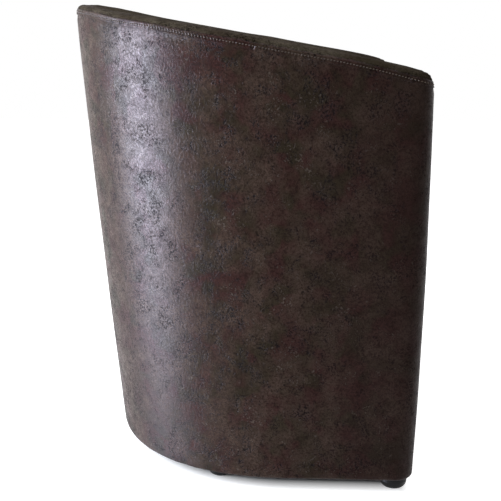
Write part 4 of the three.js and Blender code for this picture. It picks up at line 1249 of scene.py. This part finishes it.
finishes = {
    "suede": suede("distressed_suede", WALL_GLOSS, WALL_TONES),
    # The band's suede is lighter than the walls' as painted light from above.
    "band": suede("band_suede_painted_light", BAND_GLOSS, BAND_PAINTED_LIGHT_TONES),
    "thread": thread(),
    "foot": foot_plastic(),
    "nonwoven": nonwoven(),
    "wadding": pressed("polyester_wadding", (0.60, 0.59, 0.56), (0.88, 0.87, 0.84), 260, 0.0012),
    "foam": pressed("cream_foam", (0.60, 0.52, 0.30), (0.84, 0.76, 0.50), 900, 0.0004),
    "hardboard": pressed("bent_hardboard", (0.13, 0.075, 0.038), (0.24, 0.15, 0.08), 500, 0.0002),
    "felt": pressed("needled_felt", (0.16, 0.155, 0.145), (0.36, 0.34, 0.32), 420, 0.0008),
    "plywood": wood("plywood", (0.42, 0.27, 0.13), (0.66, 0.48, 0.28), True),
    "timber": wood("planed_timber", (0.45, 0.30, 0.15), (0.70, 0.53, 0.32)),
    "spring_steel": metal("spring_steel", (0.09, 0.09, 0.10), (0.16, 0.16, 0.17), 0.38),
    "zinc": metal("zinc_steel", (0.50, 0.51, 0.53), (0.66, 0.67, 0.69), 0.32),
}
SLOTS = {"cover": "suede", "foot_plastic": "foot", "zinc_steel": "zinc"}


def dress_nodes():
    """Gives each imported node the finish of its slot."""
    slots = {part["node"]: part["material_slot"] for part in frame["record"]["subparts"]}
    for name, node in frame["nodes"].items():
        node.data.materials.clear()
        node.data.materials.append(finishes[SLOTS.get(slots[name], slots[name])])


# Stage: a pale floor, soft lamps and the photograph's camera.
CAMERA_PLACE = Vector((-1.5721, -0.0782, 0.6893))
CAMERA_YAW = -0.0442
CAMERA_PITCH = 0.2353
CAMERA_FOCUS = 893.7
PICTURE_SIDE = 501
SENSOR = 36
FLOOR_HALF = 6.0
WHITE_FROM = (0.86, 0.99)
AMBIENT = 0.28


def point_at(thing, ahead):
    thing.rotation_mode = "QUATERNION"
    thing.rotation_quaternion = ahead.to_track_quat("-Z", "Y")


def make_camera():
    data = bpy.data.cameras.new("camera")
    data.sensor_width = SENSOR
    data.lens = CAMERA_FOCUS * SENSOR / PICTURE_SIDE
    camera = add_object("camera", data)
    camera.location = CAMERA_PLACE
    flat = math.cos(CAMERA_PITCH)
    ahead = (math.cos(CAMERA_YAW) * flat, -math.sin(CAMERA_YAW) * flat, -math.sin(CAMERA_PITCH))
    point_at(camera, Vector(ahead))
    bpy.context.scene.camera = camera


def softbox(name, place, aim, width, height, power, colour=(1, 1, 1), for_gloss=False):
    data = bpy.data.lights.new(name, "AREA")
    data.shape = "RECTANGLE"
    data.size, data.size_y = width, height
    data.energy = power
    data.color = colour
    lamp = add_object(name, data)
    lamp.location = place
    point_at(lamp, Vector(aim) - Vector(place))
    lamp.visible_camera = False
    lamp.visible_diffuse = not for_gloss


def make_lamps():
    softbox("rear_softbox", (-0.47, 1.17, 0.46), (0, 0, 0.40), 0.44, 0.95, 165, (0.72, 0.80, 1.0), True)
    softbox("rear_fill", (-0.60, 1.60, 0.75), (0, 0, 0.35), 1.0, 1.0, 50, (0.86, 0.91, 1.0))
    softbox("top_softbox", (-0.20, 0.0, 2.1), (0, 0, 0.3), 1.4, 1.4, 20)


def make_world():
    """Soft light all round, and white where the camera, gloss or glass sees it."""
    world = bpy.data.worlds.new("studio")
    bpy.context.scene.world = world
    world.use_nodes = True
    w = Nodes(world.node_tree)
    background = w.tree.nodes["Background"]
    path = w.add("ShaderNodeLightPath").outputs
    seen = path["Is Camera Ray"]
    for ray in ("Is Glossy Ray", "Is Transmission Ray"):
        seen = w.math("MAXIMUM", seen, path[ray])
    w.plug(background.inputs["Color"], (1, 1, 1, 1))
    w.plug(background.inputs["Strength"], w.level(seen, 0.0, 1.0, AMBIENT, 1.0))


def make_floor():
    """A pale floor, shown white round the chair; under the chair it shows the light that reaches it."""
    mesh = bpy.data.meshes.new("floor")
    corners = [(x * FLOOR_HALF, y * FLOOR_HALF, 0) for x, y in ((-1, -1), (1, -1), (1, 1), (-1, 1))]
    mesh.from_pydata(corners, [], [(0, 1, 2, 3)])
    floor = add_object("floor", mesh)
    f = Finish("floor", 0.9, (0.80, 0.80, 0.80), **{"Specular IOR Level": 0.1})
    half, front, deep, start = plan_at(COVER_LIFT)
    apart = f.add("ShaderNodeSeparateXYZ", {"Vector": f.place})
    across = f.math("DIVIDE", f.math("ABSOLUTE", apart.outputs["X"]), half)
    behind = f.math("MAXIMUM", f.math("DIVIDE", f.math("SUBTRACT", apart.outputs["Y"], start), deep), 0.0)
    powers = [f.math("POWER", share, SQUARENESS) for share in (across, behind)]
    shape = f.math("POWER", f.math("ADD", *powers), 1 / SQUARENESS)
    reach = f.math("MAXIMUM", shape, f.math("DIVIDE", apart.outputs["Y"], front))
    path = f.add("ShaderNodeLightPath").outputs
    shown = f.math("MAXIMUM", path["Is Camera Ray"], path["Is Glossy Ray"])
    f.set("Emission Color", (1, 1, 1, 1))
    f.set("Emission Strength", f.math("MULTIPLY", f.level(reach, *WHITE_FROM), shown))
    mesh.materials.append(f.material)


dress_nodes()
make_outer_cover()
make_inner_cover()
make_rim_band()
make_front_cover()
make_seat()
make_feet()
make_bottom_cover()
make_staples()
make_floor()
make_lamps()
make_world()
make_camera()

scene = bpy.context.scene
scene.view_settings.view_transform = "Standard"
